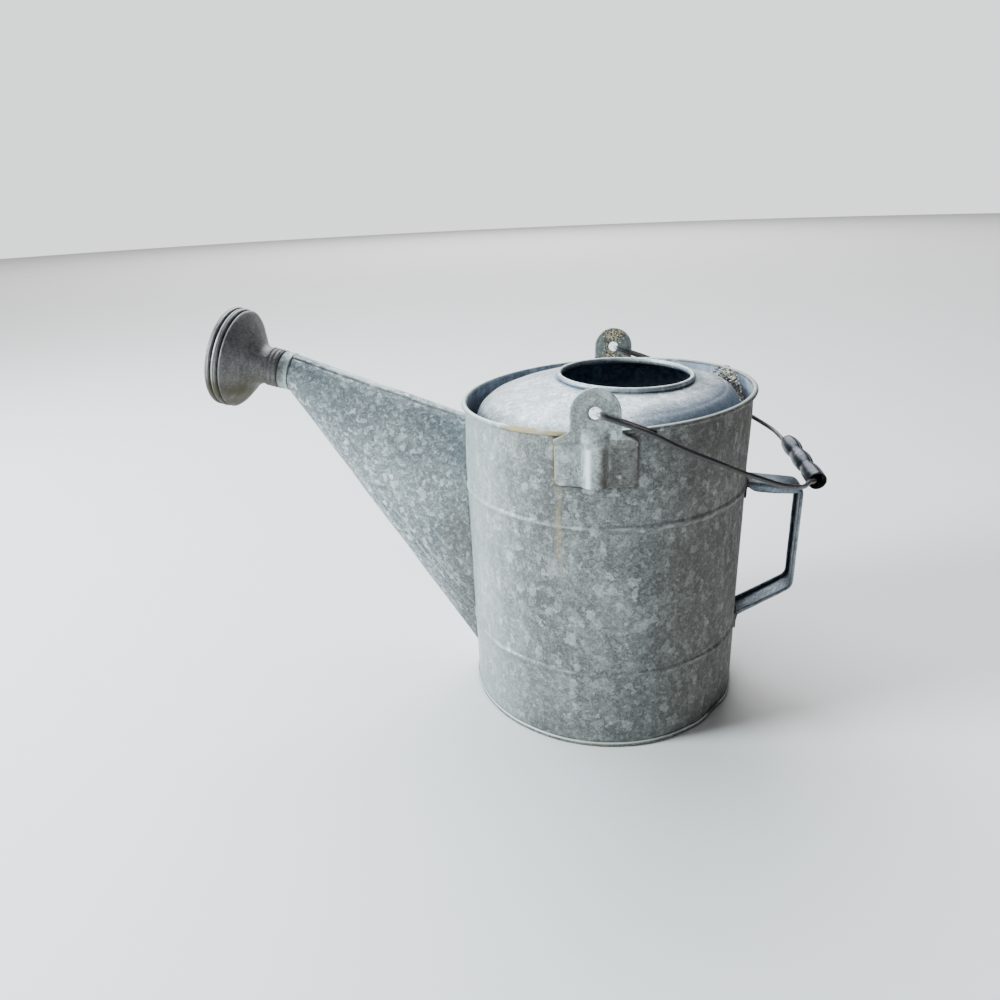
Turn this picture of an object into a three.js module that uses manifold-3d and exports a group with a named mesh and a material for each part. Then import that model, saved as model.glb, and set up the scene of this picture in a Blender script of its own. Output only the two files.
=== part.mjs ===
import * as THREE from 'three';
import { mergeVertices } from 'three/addons/utils/BufferGeometryUtils.js';
import Module from 'manifold-3d';

// A weathered galvanised watering can: round body with a hood, tapered spout with a rose,
// rear handle, and a wire bail with a loose sheet grip. Millimetres, +Z up, spout towards -X.

const wasm = await Module();
wasm.setup();

// Driving dimensions of the body
const sheet = 0.9;              // galvanised sheet
const fitGap = 0.3;             // gap between pieces that are soldered or folded together
const bodyRadius = 120;         // outside of the wall
const rimHeight = 275.2;        // centre of the wired rim above the ground
const lowerBeadHeight = 71.4;
const upperBeadHeight = rimHeight - 74.9;
const beadHalfWidth = 2.6;
const beadProud = 1.4;
const rimWireRadius = 1.0;
const rimTaperStart = rimHeight - 20.2;   // above this the wall closes in slightly
const rimTaperEnd = rimHeight - 7;
const rimTilt = 0.042;          // the rim stands higher towards the handle
const rimShift = 1.2;           // and has been pushed the same way
const seamWidth = 7;
const seamProud = 0.8;

// Base
const floorHeight = 6;          // underside of the recessed floor
const baseLipHeight = 4.5;

// Hood and mouth
const hoodSkirtLow = rimHeight - 39.2;
const hoodSkirtHigh = rimHeight - 31.2;
const hoodShoulderRadius = bodyRadius - 20;
const hoodShoulderHeight = rimHeight - 0.2;
const mouthRadius = 53.2;       // clear radius inside the rolled edge
const mouthHeight = rimHeight + 14.3;     // centre of the rolled edge
const mouthOffset = 17.4;       // the mouth sits towards the handle
const mouthTilt = -0.026;
const mouthRoll = 2.1;          // outside radius of the rolled edge

// Spout
const spoutNeckRadius = 15.6;
const spoutTopAtBody = rimHeight - 23.4;  // height of the spout's top line where it meets the wall
const spoutBottomAtBody = 18.5;
const spoutRootHalfWidth = 37;
const spoutFullness = 0.16;     // the section is fuller above its middle
const spoutHoleShare = 0.86;    // the hole in the wall against the spout's inside

// Rose, along its own axis from the centre of its front rim
const roseCentreX = -339.8;
const roseCentreZ = rimHeight + 32.2;
const roseTilt = THREE.MathUtils.degToRad(14.3);
const roseRadius = 44.6;
const roseSheet = 0.8;
const roseNeckRadius = 16.5;
const roseNeckEnd = 52.3;
const roseNeckRingHeight = 1.0;
const roseNeckRings = [49.7, 46, 42.3];
const roseSeamDepth = 6.1;      // where the bell and the pierced front meet
const roseDomeHeight = 5.2;
const roseHoleRadius = 0.95;
const roseHolePitch = 8.4;
const roseHoleRings = 4;
const ferruleBandLength = 9;
const ferruleReach = 23;        // how far the ferrule goes inside the rose's neck
const spoutInFerrule = 6;       // and the spout inside the ferrule's band

// Ears
const earThickness = 1.1;
const earLobeRadius = 18;
const earHoleHeight = rimHeight + 15.6;
const earHoleRadius = 4.65;
const earBaseHalfWidth = 29.7;
const earBaseLow = rimHeight - 40.7;
const earShoulderLow = rimHeight - 4.4;
const earShoulderHigh = rimHeight + 1.3;
const earStepLow = rimHeight - 11;        // here the plate leaves the wall to clear the rim
const earStepHigh = rimHeight - 4;
const earRibHalfWidth = 9.2;
const earRibHeight = 5.2;
const earRibFadeLow = rimHeight - 8;
const earRibFadeHigh = rimHeight + 6.5;
const farEarShift = 2.6;        // the far ear sits nearer the handle
const farEarDrop = 2.7;         // and lower than the near one

// Bail and grip
const wireRadius = 1.85;
const hookGap = 0.4;            // between the hooked wire and each face of the ear
const bailDroop = THREE.MathUtils.degToRad(19.5);
const bailTail = 42;
const bailStraight = 36;
const bailSag = 0.1105;         // slope of the arch below the straight stretch
const bailSagStart = 32;
const bailReach = 183.1;
const gripNearY = -37;
const gripFarY = 42;
const gripFarReach = 168.3;
const gripBulge = 7.5;
const gripWaist = 6.5;
const gripSheet = 0.8;
const gripHangNear = 2.6;       // the loose grip sits off the wire's line at both ends
const gripHangFar = [1.6, 2.3];
const gripEndHole = 5.5;        // clear radius of the turned-in far end
// Knees of each arm: share of its reach, and share of the way in from the ear to the grip
const nearKnees = [[0.328, 0.027], [0.5025, 0.105], [0.7755, 0.3355], [0.885, 0.57], [0.9455, 0.832]];
const farKnees = [[0.3565, 0.083], [0.624, 0.296], [0.8555, 0.489], [0.9505, 0.6275], [0.991, 0.834]];

// Rear handle
const handleWidth = 27;
const handleLip = 7.4;          // depth of the rolled edge along the arm
const handleFlatLip = 0.24;     // share of it that is left on the upright
const handleFootLip = 0.42;     // and where the strap meets the wall
const handleReach = 167.2;      // outer face of the upright
const handleTopAtBody = upperBeadHeight - 0.1;
const handleTopAtCorner = upperBeadHeight - 3.8;
const handleLowAtCorner = 101.2;
const handleLowAtBody = 70;
const handleTopBend = 9;
const handleLowBend = 12;
const handleEdge = 2.6;         // width of the rolled edge
const handleRoot = 4;           // how far the strap runs on into the wall before it is cut
const tabWidth = 24;
const tabHeight = 17;
const tabRise = 2;              // the lower foot stands this far above the strap's outer face

// Facets
const bodySides = 48;
const roseSides = 28;
const wireSides = 8;

// Sizes that follow from the ones above
const rimRollRadius = rimWireRadius + fitGap + sheet;
const rimRadius = bodyRadius + 0.6;
const rimOuter = rimRadius + rimRollRadius;
const wallOuterAtRim = rimRadius - rimWireRadius - fitGap;
const earInner = rimOuter + fitGap;
const earOuter = earInner + earThickness;
const armY = earOuter + hookGap + wireRadius;
const tailY = earInner - hookGap - wireRadius;
const hookY = (armY + tailY) / 2;
const farEarTurn = Math.asin(farEarShift / hookY);
const pivotPlay = earHoleRadius - wireRadius - fitGap;
const pivotX = pivotPlay * Math.cos(bailDroop) + farEarShift / 2;
const pivotZ = earHoleHeight - pivotPlay * Math.sin(bailDroop) - farEarDrop / 2;
const tabInner = bodyRadius + seamProud + fitGap;

const galvanised = { color: 0x9aa2a4, roughness: 0.55, metalness: 0.7 };
const paleZinc = { color: 0xb9c2c8, roughness: 0.5, metalness: 0.7 };
const dullZinc = { color: 0x6f6b64, roughness: 0.65, metalness: 0.6 };
const handleZinc = { color: 0x66717b, roughness: 0.5, metalness: 0.7 };
const darkWire = { color: 0x4a4644, roughness: 0.6, metalness: 0.6 };

const V2 = (x, y) => new THREE.Vector2(x, y);
const V3 = (x, y, z) => new THREE.Vector3(x, y, z);

// Merges shared vertices, drops empty triangles and turns every face outwards
function closed(source) {
  const bare = source.clone();
  bare.deleteAttribute('normal');
  bare.deleteAttribute('uv');
  const merged = mergeVertices(bare, 1e-4);
  const place = merged.attributes.position;
  const corners = [];
  let volume = 0;
  const [a, b, c] = [V3(), V3(), V3()];
  for (let i = 0; i < merged.index.count; i += 3) {
    const triangle = [0, 1, 2].map((k) => merged.index.getX(i + k));
    if (new Set(triangle).size < 3) continue;
    corners.push(triangle);
    [a, b, c].forEach((point, k) => point.fromBufferAttribute(place, triangle[k]));
    volume += a.dot(b.cross(c)) / 6;
  }
  if (volume < 0) corners.forEach((triangle) => triangle.reverse());
  merged.setIndex(corners.flat());
  merged.computeVertexNormals();
  return merged;
}

function toSolid(geometry) {
  const ready = closed(geometry);
  const vertProperties = new Float32Array(ready.attributes.position.array);
  const triVerts = new Uint32Array(ready.index.array);
  return new wasm.Manifold(new wasm.Mesh({ numProp: 3, vertProperties, triVerts }));
}

function toGeometry(solid) {
  const mesh = solid.getMesh();
  const geometry = new THREE.BufferGeometry();
  geometry.setAttribute('position', new THREE.BufferAttribute(new Float32Array(mesh.vertProperties), 3));
  geometry.setIndex(Array.from(mesh.triVerts));
  geometry.computeVertexNormals();
  return geometry;
}

function named(name, geometry, look) {
  const mesh = new THREE.Mesh(geometry, new THREE.MeshStandardMaterial(look));
  mesh.name = name;
  return mesh;
}

// Moves every vertex of a geometry by a function of its place
function reshape(geometry, move) {
  const place = geometry.attributes.position;
  const point = V3();
  for (let i = 0; i < place.count; i += 1) {
    point.fromBufferAttribute(place, i);
    move(point);
    place.setXYZ(i, point.x, point.y, point.z);
  }
  return geometry;
}

// Gives a line of radius and height points a thickness, as a closed profile
function thicken(line, thickness) {
  const sides = [[], []];
  line.forEach((point, i) => {
    const before = line[Math.max(i - 1, 0)];
    const after = line[Math.min(i + 1, line.length - 1)];
    const into = i > 0 ? point.clone().sub(before).normalize() : after.clone().sub(point).normalize();
    const out = i < line.length - 1 ? after.clone().sub(point).normalize() : into;
    const normal = V2(-into.y - out.y, into.x + out.x).normalize();
    if (point.x === 0) normal.set(0, Math.sign(normal.y));
    const mitre = thickness / 2 / Math.max(normal.dot(V2(-into.y, into.x)), 0.4);
    sides[0].push(point.clone().addScaledVector(normal, mitre));
    sides[1].unshift(point.clone().addScaledVector(normal, -mitre));
  });
  return [...sides[0], ...sides[1], sides[0][0].clone()];
}

// Turns a closed profile about the Z axis
function turned(profile, sides) {
  return new THREE.LatheGeometry(profile, sides).rotateX(Math.PI / 2);
}

function sheetTurned(line, thickness, sides) {
  return turned(thicken(line, thickness), sides);
}

function discSolid(radius, low, high, sides) {
  return toSolid(turned([V2(0, low), V2(radius, low), V2(radius, high), V2(0, high)], sides));
}

// A round wire through a list of points, each ring square to the wire
function wireThrough(points, radius, sides) {
  const steps = points.length - 1;
  const unit = new THREE.CylinderGeometry(1, 1, 1, sides, steps);
  const along = points.map((point, i) => {
    const before = points[Math.max(i - 1, 0)];
    const after = points[Math.min(i + 1, steps)];
    return after.clone().sub(before).normalize();
  });
  let across = V3(0, 0, 1).cross(along[0]).normalize();
  const frames = along.map((direction) => {
    across = across.clone().addScaledVector(direction, -across.dot(direction)).normalize();
    return [across, direction.clone().cross(across)];
  });
  return reshape(unit, (point) => {
    const ring = Math.round((point.y + 0.5) * steps);
    const [sideways, upwards] = frames[ring];
    const { x, z } = point;
    point.copy(points[ring]).addScaledVector(sideways, x * radius).addScaledVector(upwards, z * radius);
  });
}

function arcPoints(centreR, centreZ, radius, fromDegrees, toDegrees, steps) {
  return Array.from({ length: steps + 1 }, (_, i) => {
    const angle = THREE.MathUtils.degToRad(fromDegrees + ((toDegrees - fromDegrees) * i) / steps);
    return V2(centreR + radius * Math.cos(angle), centreZ + radius * Math.sin(angle));
  });
}

// The upper wall has been pushed over, so the rim is tilted and off centre
function lean(point) {
  const share = THREE.MathUtils.smoothstep(point.z, upperBeadHeight + beadHalfWidth, rimHeight);
  point.z += rimTilt * point.x * share;
  point.x += rimShift * share;
}

function beadLine(radius, height) {
  const shoulder = 0.7;
  return [
    V2(radius, height - beadHalfWidth),
    V2(radius + beadProud * shoulder, height - beadHalfWidth / 2),
    V2(radius + beadProud, height),
    V2(radius + beadProud * shoulder, height + beadHalfWidth / 2),
    V2(radius, height + beadHalfWidth),
  ];
}

// Everything inside the wall's outer face, with the beads, and a gap around it
function wallEnvelope() {
  const radius = bodyRadius + fitGap;
  const below = -rimHeight / 4;
  const above = 1.5 * rimHeight;
  const outline = [
    V2(0, below), V2(radius, below),
    ...beadLine(radius, lowerBeadHeight),
    ...beadLine(radius, upperBeadHeight),
    V2(radius, above), V2(0, above),
  ];
  return toSolid(reshape(turned(outline, bodySides), lean));
}

// Straight steps between pairs of place and value
function ramp(pairs, at) {
  const next = Math.max(1, pairs.findIndex(([place]) => place >= at));
  const [[fromPlace, from], [toPlace, to]] = [pairs[next - 1], pairs[next]];
  return THREE.MathUtils.mapLinear(at, fromPlace, toPlace, from, to);
}

// Spout outline: a ring of points at share 0 (tip) to 1 (inside the body)
const axisOut = V3(-Math.cos(roseTilt), 0, Math.sin(roseTilt));
const axisUp = V3(Math.sin(roseTilt), 0, Math.cos(roseTilt));
const roseCentre = V3(roseCentreX, 0, roseCentreZ);
const ferruleStep = roseNeckEnd + fitGap + roseSheet;
const spoutFlareStart = ferruleStep + ferruleBandLength;
const spoutTip = spoutFlareStart - spoutInFerrule;
const alongRose = (distance) => roseCentre.clone().addScaledVector(axisOut, -distance);

function spoutSections(inset, rootShare) {
  const neckCentre = alongRose(spoutFlareStart);
  const neckTop = neckCentre.clone().addScaledVector(axisUp, spoutNeckRadius);
  const neckBottom = neckCentre.clone().addScaledVector(axisUp, -spoutNeckRadius);
  const rootX = -0.8 * bodyRadius;
  const extend = (start, height) => {
    const slope = (start.z - height) / (-bodyRadius - start.x);
    return V3(rootX, 0, start.z - slope * (rootX - start.x));
  };
  const rootTop = extend(neckTop, spoutTopAtBody);
  const rootBottom = extend(neckBottom, spoutBottomAtBody);
  const shares = [0, 0.12, 0.3, 0.5, 0.7, 0.85, 1];
  const rings = shares.map((share) => {
    const top = neckTop.clone().lerp(rootTop, share);
    const bottom = neckBottom.clone().lerp(rootBottom, share);
    const half = top.clone().sub(bottom).multiplyScalar(0.5);
    const keep = 1 - inset / half.length();
    return {
      centre: top.clone().add(bottom).multiplyScalar(0.5),
      half: half.multiplyScalar(keep * (share > 0.5 ? rootShare : 1)),
      width: (THREE.MathUtils.lerp(spoutNeckRadius, spoutRootHalfWidth, share ** 0.8) - inset)
        * (share > 0.5 ? rootShare : 1),
      fullness: spoutFullness * Math.min(1, share * 2),
    };
  });
  const tube = axisUp.clone().multiplyScalar(spoutNeckRadius - inset);
  const tip = { centre: alongRose(spoutTip - inset), half: tube, width: spoutNeckRadius - inset, fullness: 0 };
  return [tip, ...rings];
}

function spoutSolid(inset, rootShare = 1) {
  const rings = spoutSections(inset, rootShare);
  const steps = rings.length - 1;
  const loft = reshape(new THREE.CylinderGeometry(1, 1, 1, 32, steps), (point) => {
    const ring = rings[Math.round((0.5 - point.y) * steps)];
    const { x, z } = point;
    point.copy(ring.centre).addScaledVector(ring.half, x);
    point.y += z * ring.width * (1 + ring.fullness * x);
  });
  return toSolid(loft);
}

function buildWall() {
  const middle = bodyRadius - sheet / 2;
  const rollMiddle = rimRollRadius - sheet / 2;
  const line = [
    V2(middle, sheet + fitGap),
    ...beadLine(middle, lowerBeadHeight),
    ...beadLine(middle, upperBeadHeight),
    V2(middle, rimTaperStart),
    V2(wallOuterAtRim - sheet / 2, rimTaperEnd),
    ...arcPoints(rimRadius, rimHeight, rollMiddle, 180, -112, 7),
  ];
  const wall = toSolid(sheetTurned(line, sheet, bodySides));
  const seamEnds = [baseLipHeight + sheet, lowerBeadHeight, upperBeadHeight, rimTaperEnd - sheet];
  const seamed = seamEnds.slice(1).reduce((solid, high, i) => {
    const low = seamEnds[i];
    const strip = new THREE.BoxGeometry(seamProud + 0.5 * sheet, seamWidth, high - low - 2 * fitGap);
    strip.translate(bodyRadius - sheet / 2 + (seamProud + 0.5 * sheet) / 2, 0, (low + high) / 2);
    return solid.add(toSolid(strip));
  }, wall);
  const shell = seamed.subtract(spoutSolid(sheet, spoutHoleShare));
  return named('body_wall', closed(reshape(toGeometry(shell), lean)), galvanised);
}

function buildRimWire() {
  const ring = arcPoints(rimRadius, rimHeight, rimWireRadius, 0, 360, 6);
  return named('rim_wire', closed(reshape(turned(ring, bodySides), lean)), darkWire);
}

function buildBase() {
  const flange = bodyRadius - sheet - fitGap - sheet / 2;
  const lip = bodyRadius + fitGap + sheet / 2;
  const line = [
    V2(0, floorHeight + sheet / 2),
    V2(flange, floorHeight + sheet / 2),
    V2(flange, sheet / 2),
    V2(lip, sheet / 2),
    V2(lip, baseLipHeight),
  ];
  return named('base_pan', closed(sheetTurned(line, sheet, bodySides)), galvanised);
}

function buildHood() {
  const skirt = bodyRadius - sheet - fitGap - sheet / 2;
  const rollMiddle = mouthRoll - sheet / 2;
  const rollRadius = mouthRadius + mouthRoll;
  const line = [
    V2(skirt, hoodSkirtLow),
    V2(skirt, hoodSkirtHigh),
    V2(skirt - 2.6, hoodSkirtHigh + 5),
    V2(hoodShoulderRadius + 11, hoodShoulderHeight - 16),
    V2(hoodShoulderRadius + 6.5, hoodShoulderHeight - 6),
    V2(hoodShoulderRadius, hoodShoulderHeight),
    V2(hoodShoulderRadius - 9, hoodShoulderHeight + 3.6),
    V2(hoodShoulderRadius - 22, hoodShoulderHeight + 7),
    V2(rollRadius + 6, mouthHeight - 4),
    V2(mouthRadius + sheet / 2, mouthHeight - 2.4),
    ...arcPoints(rollRadius, mouthHeight, rollMiddle, 180, -60, 6),
  ];
  const place = (point) => {
    const radius = Math.hypot(point.x, point.y);
    const share = 1 - THREE.MathUtils.smoothstep(radius, rollRadius + 3, hoodShoulderRadius + 8);
    const atMouth = V3(point.x + mouthOffset, point.y, point.z + mouthTilt * point.x);
    lean(point);
    point.lerp(atMouth, share);
  };
  return named('hood', closed(reshape(sheetTurned(line, sheet, bodySides), place)), paleZinc);
}

function buildSpout() {
  const tube = spoutSolid(0).subtract(spoutSolid(sheet));
  return named('spout', toGeometry(tube.subtract(wallEnvelope())), galvanised);
}

// The rose and its ferrule are turned about their own axis, front rim at height 0
function rosePlaced(...pieces) {
  const group = new THREE.Group();
  group.position.copy(roseCentre);
  group.rotation.y = roseTilt - Math.PI / 2;
  group.add(...pieces);
  return group;
}

function buildFerrule() {
  const band = spoutNeckRadius + fitGap + sheet / 2;
  const tube = roseNeckRadius - roseSheet - fitGap - sheet / 2;
  const step = -ferruleStep + sheet / 2 - 0.1;
  const line = [
    V2(band, -spoutFlareStart),
    V2(band, step),
    V2(tube, step),
    V2(tube, step + ferruleReach),
  ];
  return named('spout_ferrule', closed(sheetTurned(line, sheet, roseSides)), galvanised);
}

function buildRoseBell() {
  const middle = (radius, height) => V2(radius - roseSheet / 2, height);
  const rings = roseNeckRings.flatMap((at) => [
    middle(roseNeckRadius, -at - 1.3),
    middle(roseNeckRadius + roseNeckRingHeight, -at),
    middle(roseNeckRadius, -at + 1.3),
  ]);
  const line = [
    middle(roseNeckRadius, -roseNeckEnd),
    ...rings,
    middle(roseNeckRadius + 0.3, -37.3),
    middle(roseNeckRadius + 1.4, -34.3),
    middle(roseNeckRadius + 4.2, -31.1),
    middle(roseNeckRadius + 9.1, -27.1),
    middle(roseRadius - 12.4, -22.9),
    middle(roseRadius - 6.8, -18.9),
    middle(roseRadius - 2.4, -15.6),
    middle(roseRadius - 0.7, -13.6),
    middle(roseRadius - 3.1, -12.6),
    middle(roseRadius - 3.1, -11.2),
    middle(roseRadius - 0.5, -10.2),
    middle(roseRadius, -8.6),
    middle(roseRadius - 0.5, -7),
    middle(roseRadius - 1.7, -roseSeamDepth),
  ];
  return named('rose_bell', closed(sheetTurned(line, roseSheet, roseSides)), dullZinc);
}

function buildRoseFace() {
  const middle = (radius, height) => V2(radius - roseSheet / 2, height);
  const line = [
    middle(roseRadius - 1.7, -roseSeamDepth + roseSheet + fitGap),
    middle(roseRadius - 0.4, -4.5),
    middle(roseRadius, -3),
    middle(roseRadius - 0.6, -1.3),
    middle(roseRadius - 2.4, -0.4),
    V2(roseRadius * 0.68, roseDomeHeight * 0.6),
    V2(roseRadius * 0.35, roseDomeHeight * 0.92),
    V2(0, roseDomeHeight),
  ];
  const plate = toSolid(sheetTurned(line, roseSheet, roseSides));
  const drills = [V2(0, 0)];
  for (let ring = 1; ring <= roseHoleRings; ring += 1) {
    for (let i = 0; i < 6 * ring; i += 1) {
      const angle = ((i + (ring % 2) / 2) * Math.PI) / (3 * ring);
      drills.push(V2(Math.cos(angle), Math.sin(angle)).multiplyScalar(ring * roseHolePitch));
    }
  }
  const pierced = drills.reduce((solid, at) => {
    const drill = new THREE.CylinderGeometry(roseHoleRadius, roseHoleRadius, 4 * roseDomeHeight, 5);
    drill.rotateX(Math.PI / 2).translate(at.x, at.y, roseDomeHeight / 2);
    return solid.subtract(toSolid(drill));
  }, plate);
  return named('rose_face', toGeometry(pierced), dullZinc);
}

// How far an ear's inner face stands from the body's axis
function earStand(x, z) {
  const onWall = Math.sqrt((bodyRadius + beadProud * 0.2 + fitGap) ** 2 - x * x);
  const step = THREE.MathUtils.smoothstep(z, earStepLow, earStepHigh);
  const ribFade = 1 - THREE.MathUtils.smoothstep(z, earRibFadeLow, earRibFadeHigh);
  const arch = Math.sqrt(Math.max(0, 1 - (x / earRibHalfWidth) ** 2));
  return THREE.MathUtils.lerp(onWall, earInner, step) + earRibHeight * arch * ribFade;
}

function earOutline() {
  const shape = new THREE.Shape();
  const corner = 4;
  const half = earBaseHalfWidth;
  shape.moveTo(-half + corner, earBaseLow);
  shape.lineTo(half - corner, earBaseLow);
  shape.quadraticCurveTo(half, earBaseLow, half, earBaseLow + corner);
  shape.lineTo(half, earShoulderLow);
  shape.lineTo(earLobeRadius + 2.5, earShoulderHigh - 1);
  shape.quadraticCurveTo(earLobeRadius, earShoulderHigh, earLobeRadius, earShoulderHigh + 4);
  shape.lineTo(earLobeRadius, earHoleHeight);
  shape.absarc(0, earHoleHeight, earLobeRadius, 0, Math.PI, false);
  shape.lineTo(-earLobeRadius, earShoulderHigh + 4);
  shape.quadraticCurveTo(-earLobeRadius, earShoulderHigh, -earLobeRadius - 2.5, earShoulderHigh - 1);
  shape.lineTo(-half, earShoulderLow);
  shape.lineTo(-half, earBaseLow + corner);
  shape.quadraticCurveTo(-half, earBaseLow, -half + corner, earBaseLow);
  const hole = new THREE.Path();
  hole.absarc(0, earHoleHeight, earHoleRadius, 0, 2 * Math.PI, true);
  shape.holes.push(hole);
  return shape;
}

function buildEar(name, turn, drop) {
  const low = earBaseLow - 2;
  const high = earHoleHeight + earLobeRadius + 2;
  const wide = 2 * earBaseHalfWidth + 4;
  const blank = new THREE.BoxGeometry(wide, earThickness, high - low, 16, 1, 12);
  reshape(blank, (point) => {
    const z = point.z + (low + high) / 2;
    point.set(point.x, point.y - earThickness / 2 - earStand(point.x, z), z);
  });
  const depth = 40;
  const cutter = new THREE.ExtrudeGeometry(earOutline(), { depth, bevelEnabled: false, curveSegments: 6 });
  cutter.rotateX(Math.PI / 2).translate(0, -bodyRadius + depth / 2, 0);
  const ear = named(name, toGeometry(toSolid(blank).intersect(toSolid(cutter))), galvanised);
  ear.rotation.z = turn;
  ear.position.z = -drop;
  return ear;
}

// The bail in its own frame: origin on the pivot line, X along the hooked ends
const sagAt = (x) => -bailSag * (x - bailSagStart);
const wireFar = V3(gripFarReach, gripFarY, sagAt(gripFarReach));
const gripNear = V3(bailReach, gripNearY, sagAt(bailReach));
const gripFar = wireFar.clone().add(V3(gripHangFar[0], 0, gripHangFar[1]));

// The hooked end and the arm on one side, up to the grip's end
function bailArmPoints(side, knees, end) {
  const bend = (armY - tailY) / 2;
  const hook = [];
  for (let i = 0; i <= 6; i += 1) {
    const angle = (i * Math.PI) / 6;
    hook.push(V3(bend * (1 - Math.sin(angle)), side * (hookY - bend * Math.cos(angle)), 0));
  }
  const tail = V3(bailTail, side * tailY, 0);
  const arm = new THREE.CatmullRomCurve3([
    V3(bend, side * armY, 0),
    V3(bailStraight, side * armY, 0),
    ...knees.map(([out, inwards]) => {
      const y = THREE.MathUtils.lerp(side * armY, end.y, inwards);
      return V3(out * end.x, y, sagAt(out * end.x));
    }),
  ], false, 'centripetal');
  return [tail, ...hook, ...arm.getSpacedPoints(20).slice(1)];
}

function buildBailWire() {
  const wireNear = gripNear.clone().sub(V3(gripHangNear, 0, 0));
  const nearSide = bailArmPoints(-1, nearKnees, gripNear);
  const farSide = bailArmPoints(1, farKnees, wireFar).reverse();
  const points = [...nearSide, wireNear, wireFar, ...farSide];
  return named('bail_wire', closed(wireThrough(points, wireRadius, wireSides)), darkWire);
}

function buildGrip() {
  const length = gripFar.distanceTo(gripNear);
  const middle = (radius, share) => V2(radius - gripSheet / 2, share * length);
  const line = [
    middle(gripBulge - 0.2, 0),
    middle(gripBulge, 0.08),
    middle(gripBulge - 0.4, 0.22),
    middle(gripWaist, 0.32),
    middle(gripBulge - 0.2, 0.44),
    middle(gripBulge - 0.2, 0.56),
    middle(gripWaist, 0.67),
    middle(gripBulge - 0.2, 0.8),
    middle(gripBulge - 0.4, 0.9),
    middle(gripWaist + 0.2, 0.965),
    V2(gripEndHole + gripSheet / 2, length),
  ];
  const grip = named('grip', closed(sheetTurned(line, gripSheet, 16)), handleZinc);
  grip.position.copy(gripNear);
  grip.quaternion.setFromUnitVectors(V3(0, 0, 1), gripFar.clone().sub(gripNear).normalize());
  return grip;
}

// A path through corners, each rounded to its own radius
function roundedPath(corners, radii) {
  const path = new THREE.CurvePath();
  let start = corners[0];
  for (let i = 1; i < corners.length - 1; i += 1) {
    const back = corners[i - 1].clone().sub(corners[i]).normalize();
    const ahead = corners[i + 1].clone().sub(corners[i]).normalize();
    const cut = radii[i - 1] / Math.tan(back.angleTo(ahead) / 2);
    const enter = corners[i].clone().addScaledVector(back, cut);
    const leave = corners[i].clone().addScaledVector(ahead, cut);
    path.add(new THREE.LineCurve3(start, enter));
    path.add(new THREE.QuadraticBezierCurve3(enter, corners[i], leave));
    start = leave;
  }
  path.add(new THREE.LineCurve3(start, corners[corners.length - 1]));
  return path;
}

function handleSection() {
  const half = handleWidth / 2;
  const edge = (inwards, depth) => V2(half - inwards * handleEdge, depth);
  const side = [
    edge(1, 0), edge(0.23, 0.35 * handleEdge), edge(0, 1.08 * handleEdge), edge(0.12, 0.95 * handleLip),
    edge(0.69, handleLip), edge(0.85, 0.78 * handleLip), edge(0.42, 0.92 * handleEdge), edge(1.15, sheet),
  ];
  const mirrored = side.map((point) => V2(-point.x, point.y)).reverse();
  return new THREE.Shape([...side, ...mirrored]);
}

function wallTab(low, high) {
  const tab = new THREE.BoxGeometry(sheet, tabWidth, high - low, 1, 6, 1);
  return toSolid(reshape(tab, (point) => {
    const radius = tabInner + sheet / 2 + point.x;
    const angle = point.y / tabInner;
    point.set(radius * Math.cos(angle), radius * Math.sin(angle), point.z + (low + high) / 2);
  }));
}

function buildHandle() {
  const corners = [
    V3(bodyRadius - handleRoot, 0, handleTopAtBody),
    V3(handleReach, 0, handleTopAtCorner),
    V3(handleReach, 0, handleLowAtCorner),
    V3(bodyRadius - handleRoot, 0, handleLowAtBody - handleRoot),
  ];
  const path = roundedPath(corners, [handleTopBend, handleLowBend]);
  const ends = path.getCurveLengths().map((length) => length / path.getLength());
  const stations = path.curves.flatMap((curve, i) => {
    const from = i > 0 ? ends[i - 1] : 0;
    return Array.from({ length: 5 }, (_, k) => THREE.MathUtils.lerp(from, ends[i], k / 5));
  });
  stations.push(1);
  const steps = stations.length - 1;
  const lips = [
    [0, handleFootLip], [0.2 * ends[0], 1], [0.6 * ends[0], 1], [ends[0], 0.8],
    [ends[1], handleFlatLip], [ends[2], handleFlatLip], [1, handleFootLip],
  ];
  const strap = new THREE.ExtrudeGeometry(handleSection(), { steps, depth: 1, bevelEnabled: false });
  reshape(strap, (point) => {
    const share = stations[Math.round(point.z * steps)];
    const along = path.getTangentAt(share);
    const depth = point.y > sheet ? sheet + (point.y - sheet) * ramp(lips, share) : point.y;
    const across = point.x;
    point.copy(path.getPointAt(share)).addScaledVector(V3(along.z, 0, -along.x), depth);
    point.y = across;
  });
  const seam = discSolid(tabInner, 0, rimHeight, bodySides * 2);
  const upperTab = wallTab(handleTopAtBody - tabHeight, handleTopAtBody - fitGap);
  const lowerTab = wallTab(handleLowAtBody - tabHeight, handleLowAtBody + tabRise);
  const handle = toSolid(strap).add(upperTab).add(lowerTab).subtract(seam).subtract(wallEnvelope());
  return named('rear_handle', toGeometry(handle), handleZinc);
}

// The pivot line runs from one ear's hole to the other's
function buildBail() {
  const group = new THREE.Group();
  const pivotLine = V3(farEarShift, 2 * hookY, -farEarDrop).normalize();
  const arm = V3(Math.cos(bailDroop), 0, -Math.sin(bailDroop));
  arm.addScaledVector(pivotLine, -arm.dot(pivotLine)).normalize();
  const turn = new THREE.Matrix4().makeBasis(arm, pivotLine, arm.clone().cross(pivotLine));
  group.position.set(pivotX, 0, pivotZ);
  group.quaternion.setFromRotationMatrix(turn);
  group.add(buildBailWire(), buildGrip());
  return group;
}

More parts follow.
